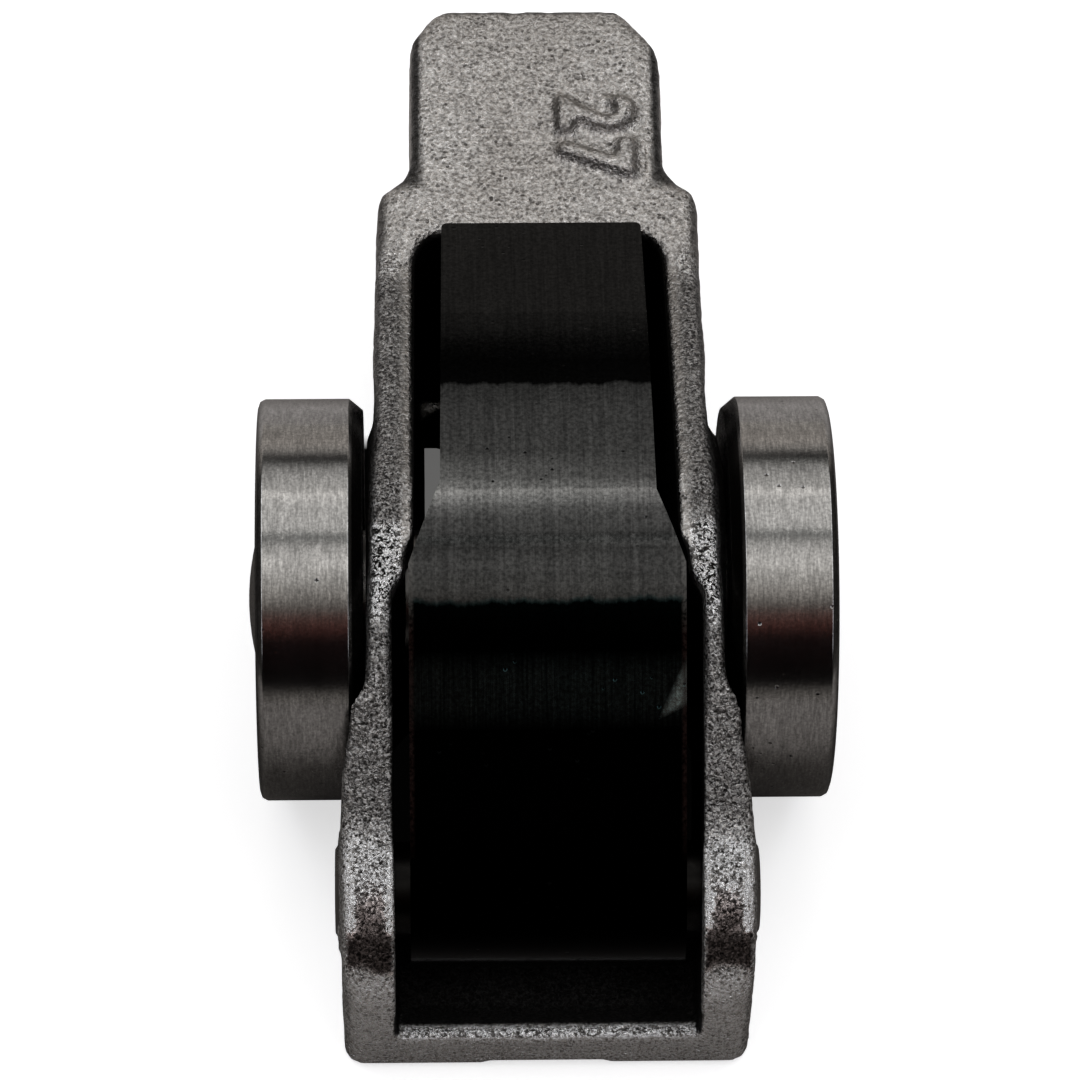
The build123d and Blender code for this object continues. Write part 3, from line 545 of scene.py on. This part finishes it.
def casting():
    src = nodes["follower_body"]
    me = src.data.copy()
    me.transform(Matrix.Scale(1000.0, 4))
    o = bpy.data.objects.new("casting_work", me)
    bpy.context.scene.collection.objects.link(o)
    # raised size number on the tongue, turned a quarter, cast with the body
    cu = bpy.data.curves.new("number", "FONT")
    cu.body = "27"
    cu.size = 4.6
    cu.extrude = 0.50
    cu.offset = 0.13
    cu.space_character = 1.16
    cu.align_x, cu.align_y = "CENTER", "CENTER"
    cu.resolution_u = 8
    txt = bpy.data.objects.new("number_work", cu)
    bpy.context.scene.collection.objects.link(txt)
    txt.matrix_world = Matrix.Translation((2.5, AY + 21.75, AZ + 3.6)) @ Matrix.Rotation(math.radians(-90), 4, "Z") @ Matrix.Diagonal((0.85, 1.0, 1.0, 1.0))
    bpy.context.view_layer.update()
    dg = bpy.context.evaluated_depsgraph_get()
    tm = bpy.data.meshes.new_from_object(txt.evaluated_get(dg))
    tm.transform(txt.matrix_world)
    import bmesh
    bm = bmesh.new()
    bm.from_mesh(me)
    bm.from_mesh(tm)
    bm.to_mesh(me)
    bm.free()
    bpy.data.objects.remove(txt)
    r = o.modifiers.new("remesh", "REMESH")
    r.mode = "VOXEL"
    r.voxel_size = 0.212
    r.adaptivity = 0.0
    r.use_smooth_shade = True
    bpy.context.view_layer.update()
    dg = bpy.context.evaluated_depsgraph_get()
    out = bpy.data.meshes.new_from_object(o.evaluated_get(dg))
    bpy.data.objects.remove(o)

    n = len(out.vertices)
    V = np.zeros(n * 3)
    out.vertices.foreach_get("co", V)
    V = V.reshape(-1, 3)
    E = np.zeros(len(out.edges) * 2, np.int64)
    out.edges.foreach_get("vertices", E)
    E = E.reshape(-1, 2)
    deg = np.bincount(E.ravel(), minlength=n).astype(float)[:, None]

    def relax(V, w, times):
        for _ in range(times):
            acc = np.zeros_like(V)
            for k in range(3):
                acc[:, k] = np.bincount(E[:, 0], V[E[:, 1], k], n) + np.bincount(E[:, 1], V[E[:, 0], k], n)
            V = V + w * (acc / deg - V)
        return V

    y, z, x = V[:, 1] - AY, V[:, 2] - AZ, np.abs(V[:, 0])
    # outer edges of the tongue and the walls are well rounded, machined parts stay crisp
    soft = ramp01(x, 4.2, 5.2) * ramp01(y, 16.5, 19.5) * ramp01(z, 0.5, 2.2)
    soft = np.maximum(soft, ramp01(y, 26.8, 28.0) * ramp01(z, 0.5, 2.2))
    soft = np.maximum(soft, ramp01(x, 6.4, 7.2) * ramp01(z, -2.0, -0.5) * (1 - ramp01(y, 18, 20)) * 0.75)
    soft = np.maximum(soft, (1 - ramp01(y, -17.0, -15.5)) * ramp01(x, 6.9, 7.8) * 0.8)
    number = ramp01(x, 0.4, 0.7) * ramp01(y, 17.8, 18.4) * (1 - ramp01(y, 24.8, 25.4)) * ramp01(z, 3.2, 3.4) * (1 - ramp01(x, 4.4, 4.8))
    crisp = ((z < -8.2) | ((np.hypot(y, z) < 3.4) & (x > 4.5))).astype(float)
    w = np.clip(0.35 + 0.0 * soft, 0, 1)[:, None] * (1 - 0.8 * crisp)[:, None]
    V = relax(V, w, 3)
    w2 = (0.5 * soft * (1 - number) * (1 - crisp))[:, None]
    V = relax(V, w2, 16)

    # normals for the skin
    F = np.zeros(len(out.polygons) * 4, np.int64)
    ok = all(len(p.vertices) == 4 for p in out.polygons)
    if ok:
        out.polygons.foreach_get("vertices", F)
        F = F.reshape(-1, 4)
        d1, d2 = V[F[:, 2]] - V[F[:, 0]], V[F[:, 3]] - V[F[:, 1]]
        fn = np.cross(d1, d2)
        N = np.zeros_like(V)
        for k in range(4):
            for c in range(3):
                N[:, c] += np.bincount(F[:, k], fn[:, c], n)
    else:
        out.vertices.foreach_set("co", V.ravel())
        out.update()
        N = np.array([v.normal for v in out.vertices])
    N /= np.maximum(np.linalg.norm(N, axis=1), 1e-9)[:, None]
    y, z, x = V[:, 1] - AY, V[:, 2] - AZ, np.abs(V[:, 0])
    skin = 1.0 - np.clip(
        ((z < -8.3) * 1.0)
        + ((np.abs(np.hypot(y, z) - 3.0) < 0.35) & (x > 5.0))
        + ((x < 6.7) & (y > -19) & (y < 17.6) & (z < 7.6) & (np.abs(N[:, 0]) > 0.5)) * 0.75
        + ((y > 14) & (np.hypot(x, z) < 3.2)) * 1.0, 0, 1)
    d = 0.030 * value_noise(V, 2.3, 3) + 0.014 * value_noise(V, 0.9, 5) + 0.030 * value_noise(V, 0.33, 9)
    skin = skin * (1 - 0.6 * number)
    V = V + N * (d * skin)[:, None]
    low = np.array(cad_low) * 1000
    body_low, body_high = (np.array(c) * 1000 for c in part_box("follower_body"))
    V = np.clip(V, body_low, body_high)
    out.vertices.foreach_set("co", (V * MM).ravel())
    out.update()
    # how far each point is inside the pocket, where painted shade darkens the casting
    top = np.interp(y, [-18.3, -13.3, -10.9, -8.5, -2.6, 1.6, 14.7, 30.0], [-3.7, 1.3, 3.2, 5.2, 7.9, 7.9, 3.6, 3.6])
    side_in = ramp01(-N[:, 0] * np.sign(V[:, 0]), 0.25, 0.6) * (1 - ramp01(x, 6.9, 7.1))
    far_in = ramp01(-N[:, 1], 0.3, 0.6) * ramp01(y, 8.0, 9.0) * (1 - ramp01(y, 18.2, 18.5)) * (1 - ramp01(x, 5.6, 5.9))
    near_in = ramp01(N[:, 1], 0.3, 0.6) * (1 - ramp01(y, -12.0, -11.0)) * (1 - ramp01(x, 6.6, 6.9))
    low_in = (1 - ramp01(z, -6.9, -6.5)) * (x < 6.7) * (y > -17.4) * (y < 17.5)
    pocket = np.maximum.reduce([side_in, far_in, near_in, low_in]) * ramp01(top - z, 0.15, 0.6)
    # the ends under the rollers and the axle boss faces see little light either
    boss = (np.abs(N[:, 0]) > 0.8) * (np.hypot(y, z) < 9.4) * (x > 7.0)
    pocket = np.maximum(pocket, boss * ramp01(top - z, 0.15, 0.6) * 0.9)
    # painted shade on the wall slopes, the lower walls, the near nose, the rim of the tongue and faces turned sideways;
    # painted light on the foot; a painted highlight line along the tongue and painted glints on the nose edges
    tilt = np.degrees(np.arctan2(-N[:, 1], np.maximum(N[:, 2], 1e-6)))
    up = ramp01(N[:, 2], 0.2, 0.5)
    slope_shade = ramp01(x, 5.7, 6.3) * ramp01(y, -0.95, -0.5) * (1 - ramp01(y, 13.6, 14.8)) * up
    fall = -(0.866 * y + 0.5 * z)     # how far down the nose a point lies
    front = 1 - ramp01(np.abs(N[:, 0]), 0.62, 0.80)
    wob = 0.35 * value_noise(V, 0.8, 21)
    mid = 1 - ramp01(np.abs(x - 7.55), 0.50, 0.75)
    nose_shade = np.maximum(ramp01(fall + wob, 11.2, 13.6) * (0.20 + 0.80 * mid) * 0.95, ramp01(fall + wob, 13.6, 14.1)) * (1 - ramp01(fall + wob, 15.5, 16.0)) * (x > 6.4) * front
    foot_light = ramp01(fall, 15.6, 16.4) * front
    on_tongue = ramp01(y, 18.9, 19.5)
    rim_shade = np.maximum(ramp01(x, 5.14, 5.22) * on_tongue, ramp01(y, 28.60, 28.75)) * ramp01(z, 2.0, 2.8) * ramp01(N[:, 2], 0.12, 0.40)
    line_highlight = ramp01(x, 4.93, 5.02) * (1 - ramp01(x, 5.10, 5.20)) * on_tongue * (1 - ramp01(y, 26.6, 27.4)) * ramp01(z, 2.8, 3.2)
    edge = ramp01(np.abs(N[:, 0]), 0.30, 0.62) * (y > -10) * (1 - on_tongue)
    low_wall_shade = ramp01(-y, 4.2, 5.6) * (1 - ramp01(fall, 8.4, 10.0)) * (x > 5.9)
    side_edge = np.maximum(ramp01(x, 8.18, 8.32), 1 - ramp01(x, 6.78, 6.92)) * (x > 6.3) * front
    glint = side_edge * ramp01(fall + wob, 10.6, 11.6) * (1 - ramp01(fall + wob, 13.6, 14.3)) * (0.6 + 0.7 * ramp01(value_noise(V, 0.35, 33), -0.4, 0.3))
    shade = (1 - 0.52 * slope_shade) * (1 - 0.30 * low_wall_shade) * (1 - 0.90 * nose_shade * (1 - glint)) * (1 + 1.6 * foot_light) * (1 - 0.86 * rim_shade)
    shade = shade * (1 + 0.30 * line_highlight) * (1 - 0.6 * edge) * (1 + 5.0 * glint)
    # painted reflection: the nose shade is tinted red
    rgb = np.stack([shade, shade * (1 - 0.16 * nose_shade), shade * (1 - 0.20 * nose_shade), np.ones(n)], 1)
    # where painted glints sit in the crest grain: the wall crests, the near nose and the lip
    crest_glint = ramp01(x, 5.9, 6.4) * ramp01(-y, 0.55, 0.9) * (1 - ramp01(-y, 4.2, 6.0)) * front
    lip = (1 - ramp01(x, 6.5, 6.8)) * ramp01(-y, 17.6, 17.9) * ramp01(N[:, 2], 0.5, 0.8)
    crest_glint = np.maximum(np.maximum(crest_glint, 0.6 * ramp01(fall, 9.6, 10.8) * (1 - ramp01(fall, 13.8, 14.6)) * (x > 6.2) * front), lip)
    at = out.attributes.new("crest_glint", "FLOAT", "POINT")
    at.data.foreach_set("value", crest_glint.astype(np.float32))
    at = out.attributes.new("shade", "FLOAT_COLOR", "POINT")
    at.data.foreach_set("color", rgb.astype(np.float32).ravel())
    coarse = np.maximum(ramp01(x, 5.9, 6.4) * (1 - ramp01(y, 14.5, 17.0)), ramp01(-y, 9.0, 10.5)) * (1 - 0.15 * foot_light) * 0.95
    at = out.attributes.new("coarse", "FLOAT", "POINT")
    at.data.foreach_set("value", coarse.astype(np.float32))
    at = out.attributes.new("pocket", "FLOAT", "POINT")
    at.data.foreach_set("value", pocket.astype(np.float32))
    o = bpy.data.objects.new("cast_frame", out)
    bpy.context.scene.collection.objects.link(o)
    out.materials.clear()
    out.materials.append(M_CAST)
    out.polygons.foreach_set("use_smooth", [True] * len(out.polygons))
    print("casting faces", len(out.polygons), "quads", ok)
    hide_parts("follower_body")
    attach(o, "frame")
    return o


casting()


# ------------------------------------------------------------------ arm
def dress(name, mat, bevel=None, angle=28):
    o = nodes[name]
    o.data.materials.clear()
    o.data.materials.append(mat)
    if bevel:
        w = o.modifiers.new("weld", "WELD")
        w.merge_threshold = 0.000002
        b = o.modifiers.new("bevel", "BEVEL")
        b.width = bevel * MM
        b.segments = 2
        b.limit_method = "ANGLE"
        b.angle_limit = math.radians(angle)
        b.harden_normals = False
        s = o.modifiers.new("weighted", "WEIGHTED_NORMAL")
        s.keep_sharp = True
    return o


arm = dress("slider_arm", M_COAT, 0.14)
dress("latch_pin", M_PIN, 0.05)
dress("plug_retaining_ring", M_WIRE, 0.04)
dress("needle_rollers_left", M_ROLL)
dress("needle_rollers_right", M_ROLL)


# ------------------------------------------------------------------ rollers, axle, washers
for side_name, s in (("left", -1), ("right", 1)):
    a, b = ROLL_IN, ROLL_IN + ROLL_W
    pts = [(s * a, 4.72), (s * a, ROLL_R - 0.5), (s * (a + 0.6), ROLL_R), (s * (b - 0.3), ROLL_R),
           (s * (b - 0.08), ROLL_R - 0.12), (s * b, ROLL_R - 0.36), (s * b, SINK_R), (s * (b - SINK), SINK_R),
           (s * (b - SINK), 4.5), (s * (a + 0.2), 4.5)]
    rad = [0.05, 0.10, 0.10, 0.15, 0.06, 0.08, 0.06, 0.03, 0.04, 0.04]
    o = lathe("roller_ring_" + side_name, rounded(pts, rad, 4), M_ROLL, AY, AZ, 224)
    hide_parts("roller_" + side_name)
    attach(o, side_name + "_roller")

    w = WASH
    pts = [(s * w, 3.0), (s * w, 4.6), (s * (w + 0.1), 4.7), (s * (w + 0.19), 4.35), (s * (w + 0.27), 3.5), (s * (w + 0.3), 3.0)]
    o = lathe("dished_washer_" + side_name, rounded(pts, [0, 0.05, 0.06, 0.4, 0.4, 0], 4), M_WASH, AY, AZ, 128)
    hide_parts("axle_washer_" + side_name)
    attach(o, "frame")

dome = [(WASH + 0.3 + 0.42 * (1 - (r / 3.0) ** 2), r) for r in (0.0, 0.5, 1.0, 1.5, 2.0, 2.4, 2.7, 2.9, 3.0)]
axle_profile = [(-a, r) for a, r in dome] + [(WASH + 0.2, 3.0), (WASH + 0.27, 2.97), (WASH + 0.3, 2.9), (WASH + 0.3, 0.0)]
o = lathe("riveted_axle", axle_profile, M_PIN, AY, AZ, 96)
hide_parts("roller_axle")
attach(o, "frame")

pts = [(-9.08, 0), (-9.08, 1.8), (-8.88, 2.1), (8.88, 2.1), (9.08, 1.8), (9.08, 0)]
o = lathe("cross_pin", rounded(pts, [0, 0.08, 0.08, 0.08, 0.08, 0], 4), M_CROSS, PY, PZ, 96, closed=False)
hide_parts("pivot_pin")
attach(o, "frame")

# ------------------------------------------------------------------ springs, seat, plug
path = helix(3.4, 0.9, SEAT + 0.02, AZ + 4.38, 5.6, (0, SY))
o = tube("outer_coil", path, 0.45, M_WIRE, 16, (SEAT + 0.02, AZ + 4.38))
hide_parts("lost_motion_spring_outer")
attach(o, "frame")
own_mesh(o)

path = helix(2.35, 0.65, SEAT + 0.02, AZ + 4.38, 7.4, (0, SY), left=True)
o = tube("inner_coil", path, 0.325, M_WIRE, 14, (SEAT + 0.02, AZ + 4.38))
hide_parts("lost_motion_spring_inner")
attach(o, "frame")
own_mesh(o)

path = helix(1.93, 0.34, AY + 19.22, AY + 22.98, 6.2, (0, AZ), axis="Y")
o = tube("latch_coil", path, 0.165, M_WIRE, 12, (AY + 19.22, AY + 22.98, 1))
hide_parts("latch_return_spring")
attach(o, "frame")
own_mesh(o)

pts = [(AZ - 7.6, 0), (AZ - 7.6, 4.05), (AZ - 7.0, 4.05), (AZ - 7.0, 1.85), (AZ - 6.0, 1.7), (AZ - 5.8, 1.4), (AZ - 5.8, 0)]
o = lathe("pressed_seat", rounded(pts, [0, 0.15, 0.15, 0.2, 0.15, 0.15, 0], 4), M_WASH, SY, 0, 72, axis="Z", closed=False)
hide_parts("spring_seat")
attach(o, "frame")

pts = [(AY + 27.3, 0), (AY + 27.3, 2.57), (AY + 28.0, 2.57), (AY + 28.0, 1.3), (AY + 27.72, 1.0), (AY + 27.68, 0)]
o = lathe("bore_plug", rounded(pts, [0, 0.12, 0.12, 0.1, 0.15, 0], 4), M_WASH, 0, AZ, 72, axis="Y", closed=False)
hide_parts("latch_bore_plug")
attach(o, "frame")


# ------------------------------------------------------------------ camera
def place_camera():
    e, yaw, roll = math.radians(60.0), math.radians(-2.5), math.radians(1.8)
    D, s, u0, v0 = 250.0, 22.9, 543.0, 598.0
    cz = np.array([math.sin(yaw) * math.cos(e), -math.cos(yaw) * math.cos(e), math.sin(e)])
    cx = np.cross([0, 0, 1.0], cz)
    cx /= np.linalg.norm(cx)
    cy = np.cross(cz, cx)
    c, sn = math.cos(roll), math.sin(roll)
    cx, cy = c * cx + sn * cy, -sn * cx + c * cy
    ox, oy = (u0 - 540) / s, (540 - v0) / s
    pos = np.array([0, AY, AZ]) + D * cz - ox * cx - oy * cy
    cam = bpy.data.cameras.new("camera")
    cam.lens = s * D * 36.0 / 1080.0
    cam.sensor_width = 36.0
    cam.clip_start, cam.clip_end = 0.005, 20.0
    co = bpy.data.objects.new("camera", cam)
    bpy.context.scene.collection.objects.link(co)
    m = Matrix.Identity(4)
    for i in range(3):
        m[i][0], m[i][1], m[i][2], m[i][3] = cx[i], cy[i], cz[i], pos[i] * MM
    co.matrix_world = m
    bpy.context.scene.camera = co


place_camera()

# ------------------------------------------------------------------ floor and light
PALE = (0.86, 0.86, 0.86)


def floor():
    s = 2.5
    me = bpy.data.meshes.new("floor")
    me.from_pydata([(-s, -s, BASE * MM), (s, -s, BASE * MM), (s, s, BASE * MM), (-s, s, BASE * MM)], [], [(0, 1, 2, 3)])
    o = bpy.data.objects.new("floor", me)
    bpy.context.scene.collection.objects.link(o)
    m = bpy.data.materials.new("floor")
    m.use_nodes = True
    nt = m.node_tree
    nt.nodes.clear()
    out = nt.nodes.new("ShaderNodeOutputMaterial")
    seen = nt.nodes.new("ShaderNodeBsdfDiffuse")
    # contact shade right under the part, deepest at the valve side
    where = nt.nodes.new("ShaderNodeTexCoord")
    part = nt.nodes.new("ShaderNodeSeparateXYZ")
    nt.links.new(where.outputs["Object"], part.inputs[0])

    def span_of(sock, a, b, c, d):
        r = nt.nodes.new("ShaderNodeMapRange")
        nt.links.new(sock, r.inputs["Value"])
        for k, x in zip(("From Min", "From Max", "To Min", "To Max"), (a, b, c, d)):
            r.inputs[k].default_value = x
        return r.outputs["Result"]

    def calc(op, a, b=None):
        r = nt.nodes.new("ShaderNodeMath")
        r.operation = op
        nt.links.new(a, r.inputs[0])
        if b is not None:
            nt.links.new(b, r.inputs[1])
        return r.outputs[0]

    beside = span_of(calc("ABSOLUTE", part.outputs["X"]), 0.0066, 0.0072, 1.0, 0.0)
    along = calc("MULTIPLY", span_of(part.outputs["Y"], (AY - 17.5) * MM, (AY - 16.5) * MM, 0.0, 1.0),
                 span_of(part.outputs["Y"], (AY + 18.0) * MM, (AY + 20.0) * MM, 1.0, 0.0))
    between = calc("MULTIPLY", span_of(calc("ABSOLUTE", part.outputs["X"]), 0.0081, 0.0084, 1.0, 0.0),
                   calc("MULTIPLY", span_of(part.outputs["Y"], (AY - 9.0) * MM, (AY - 8.0) * MM, 0.0, 1.0),
                        span_of(part.outputs["Y"], (AY + 13.0) * MM, (AY + 13.8) * MM, 1.0, 0.0)))
    inside_shade = calc("MULTIPLY", beside, along)
    under = calc("MAXIMUM", inside_shade, between)
    deep = nt.nodes.new("ShaderNodeValToRGB")
    els = deep.color_ramp.elements
    els[0].position, els[0].color = 0.0, (0.001, 0.001, 0.001, 1)
    els[1].position, els[1].color = 1.0, (0.17, 0.168, 0.165, 1)
    nt.links.new(calc("MULTIPLY", inside_shade, span_of(part.outputs["Y"], (AY - 0.5) * MM, (AY + 2.5) * MM, 0.0, 1.0)), deep.inputs["Fac"])
    lift = nt.nodes.new("ShaderNodeMix")
    lift.data_type = "RGBA"
    nt.links.new(under, lift.inputs["Factor"])
    lift.inputs[6].default_value = (0.9, 0.9, 0.9, 1)
    nt.links.new(deep.outputs["Color"], lift.inputs[7])
    nt.links.new(lift.outputs[2], seen.inputs["Color"])
    glow = nt.nodes.new("ShaderNodeEmission")
    nt.links.new(lift.outputs[2], glow.inputs["Color"])
    glow.inputs["Strength"].default_value = 0.68
    add = nt.nodes.new("ShaderNodeAddShader")
    nt.links.new(seen.outputs[0], add.inputs[0])
    nt.links.new(glow.outputs[0], add.inputs[1])
    # the paper is in shade on the valve side of the part and brighter further out
    bounce = nt.nodes.new("ShaderNodeBsdfDiffuse")
    co = nt.nodes.new("ShaderNodeTexCoord")
    sep = nt.nodes.new("ShaderNodeSeparateXYZ")
    nt.links.new(co.outputs["Object"], sep.inputs[0])
    shade = nt.nodes.new("ShaderNodeValToRGB")
    span = nt.nodes.new("ShaderNodeMapRange")
    nt.links.new(sep.outputs["Y"], span.inputs["Value"])
    span.inputs["From Min"].default_value = -0.080
    span.inputs["From Max"].default_value = 0.020
    nt.links.new(span.outputs["Result"], shade.inputs["Fac"])
    els = shade.color_ramp.elements
    els[0].position, els[0].color = 0.0, (0.42, 0.397, 0.382, 1)
    els[1].position, els[1].color = 1.0, (0.70, 0.67, 0.65, 1)
    for p, c in ((0.22, (0.40, 0.376, 0.360, 1)), (0.33, (0.29, 0.272, 0.259, 1)), (0.40, (0.150, 0.140, 0.131, 1)), (0.46, (0.120, 0.112, 0.105, 1)), (0.64, (0.115, 0.108, 0.101, 1)), (0.80, (0.38, 0.357, 0.342, 1))):
        e = els.new(p)
        e.color = c
    nt.links.new(shade.outputs["Color"], bounce.inputs["Color"])
    lp = nt.nodes.new("ShaderNodeLightPath")
    mx = nt.nodes.new("ShaderNodeMixShader")
    nt.links.new(lp.outputs["Is Camera Ray"], mx.inputs[0])
    nt.links.new(bounce.outputs[0], mx.inputs[1])
    nt.links.new(add.outputs[0], mx.inputs[2])
    nt.links.new(mx.outputs[0], out.inputs["Surface"])
    me.materials.append(m)


def studio():
    """Two long soft boxes overhead and behind, dim walls, as a world."""
    w = bpy.data.worlds.new("studio")
    bpy.context.scene.world = w
    w.use_nodes = True
    nt = w.node_tree
    nt.nodes.clear()
    N = nt.nodes.new
    L = nt.links.new

    def m(op, a, b=None):
        node = N("ShaderNodeMath")
        node.operation = op
        for s, v in zip(node.inputs, (a, b)):
            if v is None:
                continue
            if isinstance(v, bpy.types.NodeSocket):
                L(v, s)
            else:
                s.default_value = v
        return node.outputs[0]

    tc = N("ShaderNodeTexCoord")
    sep = N("ShaderNodeSeparateXYZ")
    L(tc.outputs["Generated"], sep.inputs[0])
    X, Y, Z = sep.outputs
    R = m("MULTIPLY", m("ARCTAN2", m("MULTIPLY", Y, -1.0), Z), 180.0 / math.pi)
    fac = m("DIVIDE", m("ADD", R, 100.0), 200.0)
    ramp = N("ShaderNodeValToRGB")
    L(fac, ramp.inputs["Fac"])
    stops = [
        (-100, (0.72, 0.69, 0.66)), (-88, (0.52, 0.49, 0.46)), (-77, (0.50, 0.465, 0.435)), (-71, (0.68, 0.63, 0.59)),
        (-63, (0.40, 0.385, 0.37)), (-61.5, (0.02, 0.02, 0.02)), (-55.5, (0.02, 0.02, 0.02)), (-54, (0.32, 0.32, 0.31)),
        (-48, (0.72, 0.71, 0.70)), (-42, (0.86, 0.85, 0.83)), (-35.4, (0.90, 0.89, 0.87)), (-34.2, (1.75, 1.72, 1.68)), (-31.4, (1.75, 1.72, 1.68)),
        (-29.5, (1.12, 1.11, 1.09)), (-9.5, (1.20, 1.19, 1.17)), (-8.0, (0.24, 0.25, 0.245)), (-4.5, (0.24, 0.25, 0.245)),
        (-2.5, (0.80, 0.79, 0.775)), (9, (1.40, 1.38, 1.35)), (16, (0.98, 0.96, 0.93)), (21, (0.78, 0.76, 0.73)),
        (27, (0.56, 0.53, 0.50)), (30, (0.36, 0.34, 0.32)), (35, (0.20, 0.180, 0.165)), (39, (0.165, 0.085, 0.072)),
        (45, (0.100, 0.034, 0.028)), (52, (0.008, 0.003, 0.003)), (81, (0.002, 0.002, 0.002)), (86, (0.20, 0.187, 0.175)),
        (100, (0.38, 0.355, 0.335)),
    ]
    els = ramp.color_ramp.elements
    while len(els) > 1:
        els.remove(els[-1])
    for i, (d, c) in enumerate(stops):
        p = (d + 100) / 200
        el = els[0] if i == 0 else els.new(p)
        el.position = p
        el.color = (*c, 1)
    side = N("ShaderNodeMapRange")
    side.interpolation_type = "SMOOTHSTEP"
    L(m("ABSOLUTE", X), side.inputs["Value"])
    for k, v in (("From Min", 0.46), ("From Max", 0.74), ("To Min", 0.0), ("To Max", 1.0)):
        side.inputs[k].default_value = v
    mx = N("ShaderNodeMix")
    mx.data_type = "RGBA"
    L(side.outputs[0], mx.inputs["Factor"])
    L(ramp.outputs["Color"], mx.inputs[6])
    mx.inputs[7].default_value = (0.035, 0.033, 0.031, 1)
    # two narrow cool lamps, one along each side, that pick out rounded edges
    def between(src, a0, a1, b0, b1):
        out = None
        for lo, hi, t0, t1 in ((a0, a1, 0.0, 1.0), (b0, b1, 1.0, 0.0)):
            r = N("ShaderNodeMapRange")
            r.interpolation_type = "SMOOTHSTEP"
            L(src, r.inputs["Value"])
            for k, v in (("From Min", lo), ("From Max", hi), ("To Min", t0), ("To Max", t1)):
                r.inputs[k].default_value = v
            out = r.outputs[0] if out is None else m("MULTIPLY", out, r.outputs[0])
        return out

    lamp = m("MULTIPLY", between(m("ABSOLUTE", X), 0.36, 0.42, 0.54, 0.60), between(R, -48.0, -44.0, 58.0, 66.0))
    add = N("ShaderNodeMix")
    add.data_type = "RGBA"
    add.blend_type = "ADD"
    L(lamp, add.inputs["Factor"])
    L(mx.outputs[2], add.inputs[6])
    add.inputs[7].default_value = (1.30, 1.36, 1.50, 1)
    bg = N("ShaderNodeBackground")
    L(add.outputs[2], bg.inputs["Color"])
    bg.inputs["Strength"].default_value = 1.0
    seen = N("ShaderNodeBackground")
    seen.inputs["Color"].default_value = (0.92, 0.92, 0.92, 1)
    lp = N("ShaderNodeLightPath")
    mix = N("ShaderNodeMixShader")
    L(lp.outputs["Is Camera Ray"], mix.inputs[0])
    L(bg.outputs[0], mix.inputs[1])
    L(seen.outputs[0], mix.inputs[2])
    out = N("ShaderNodeOutputWorld")
    L(mix.outputs[0], out.inputs["Surface"])


floor()
studio()
bpy.context.scene.view_settings.view_transform = "Standard"
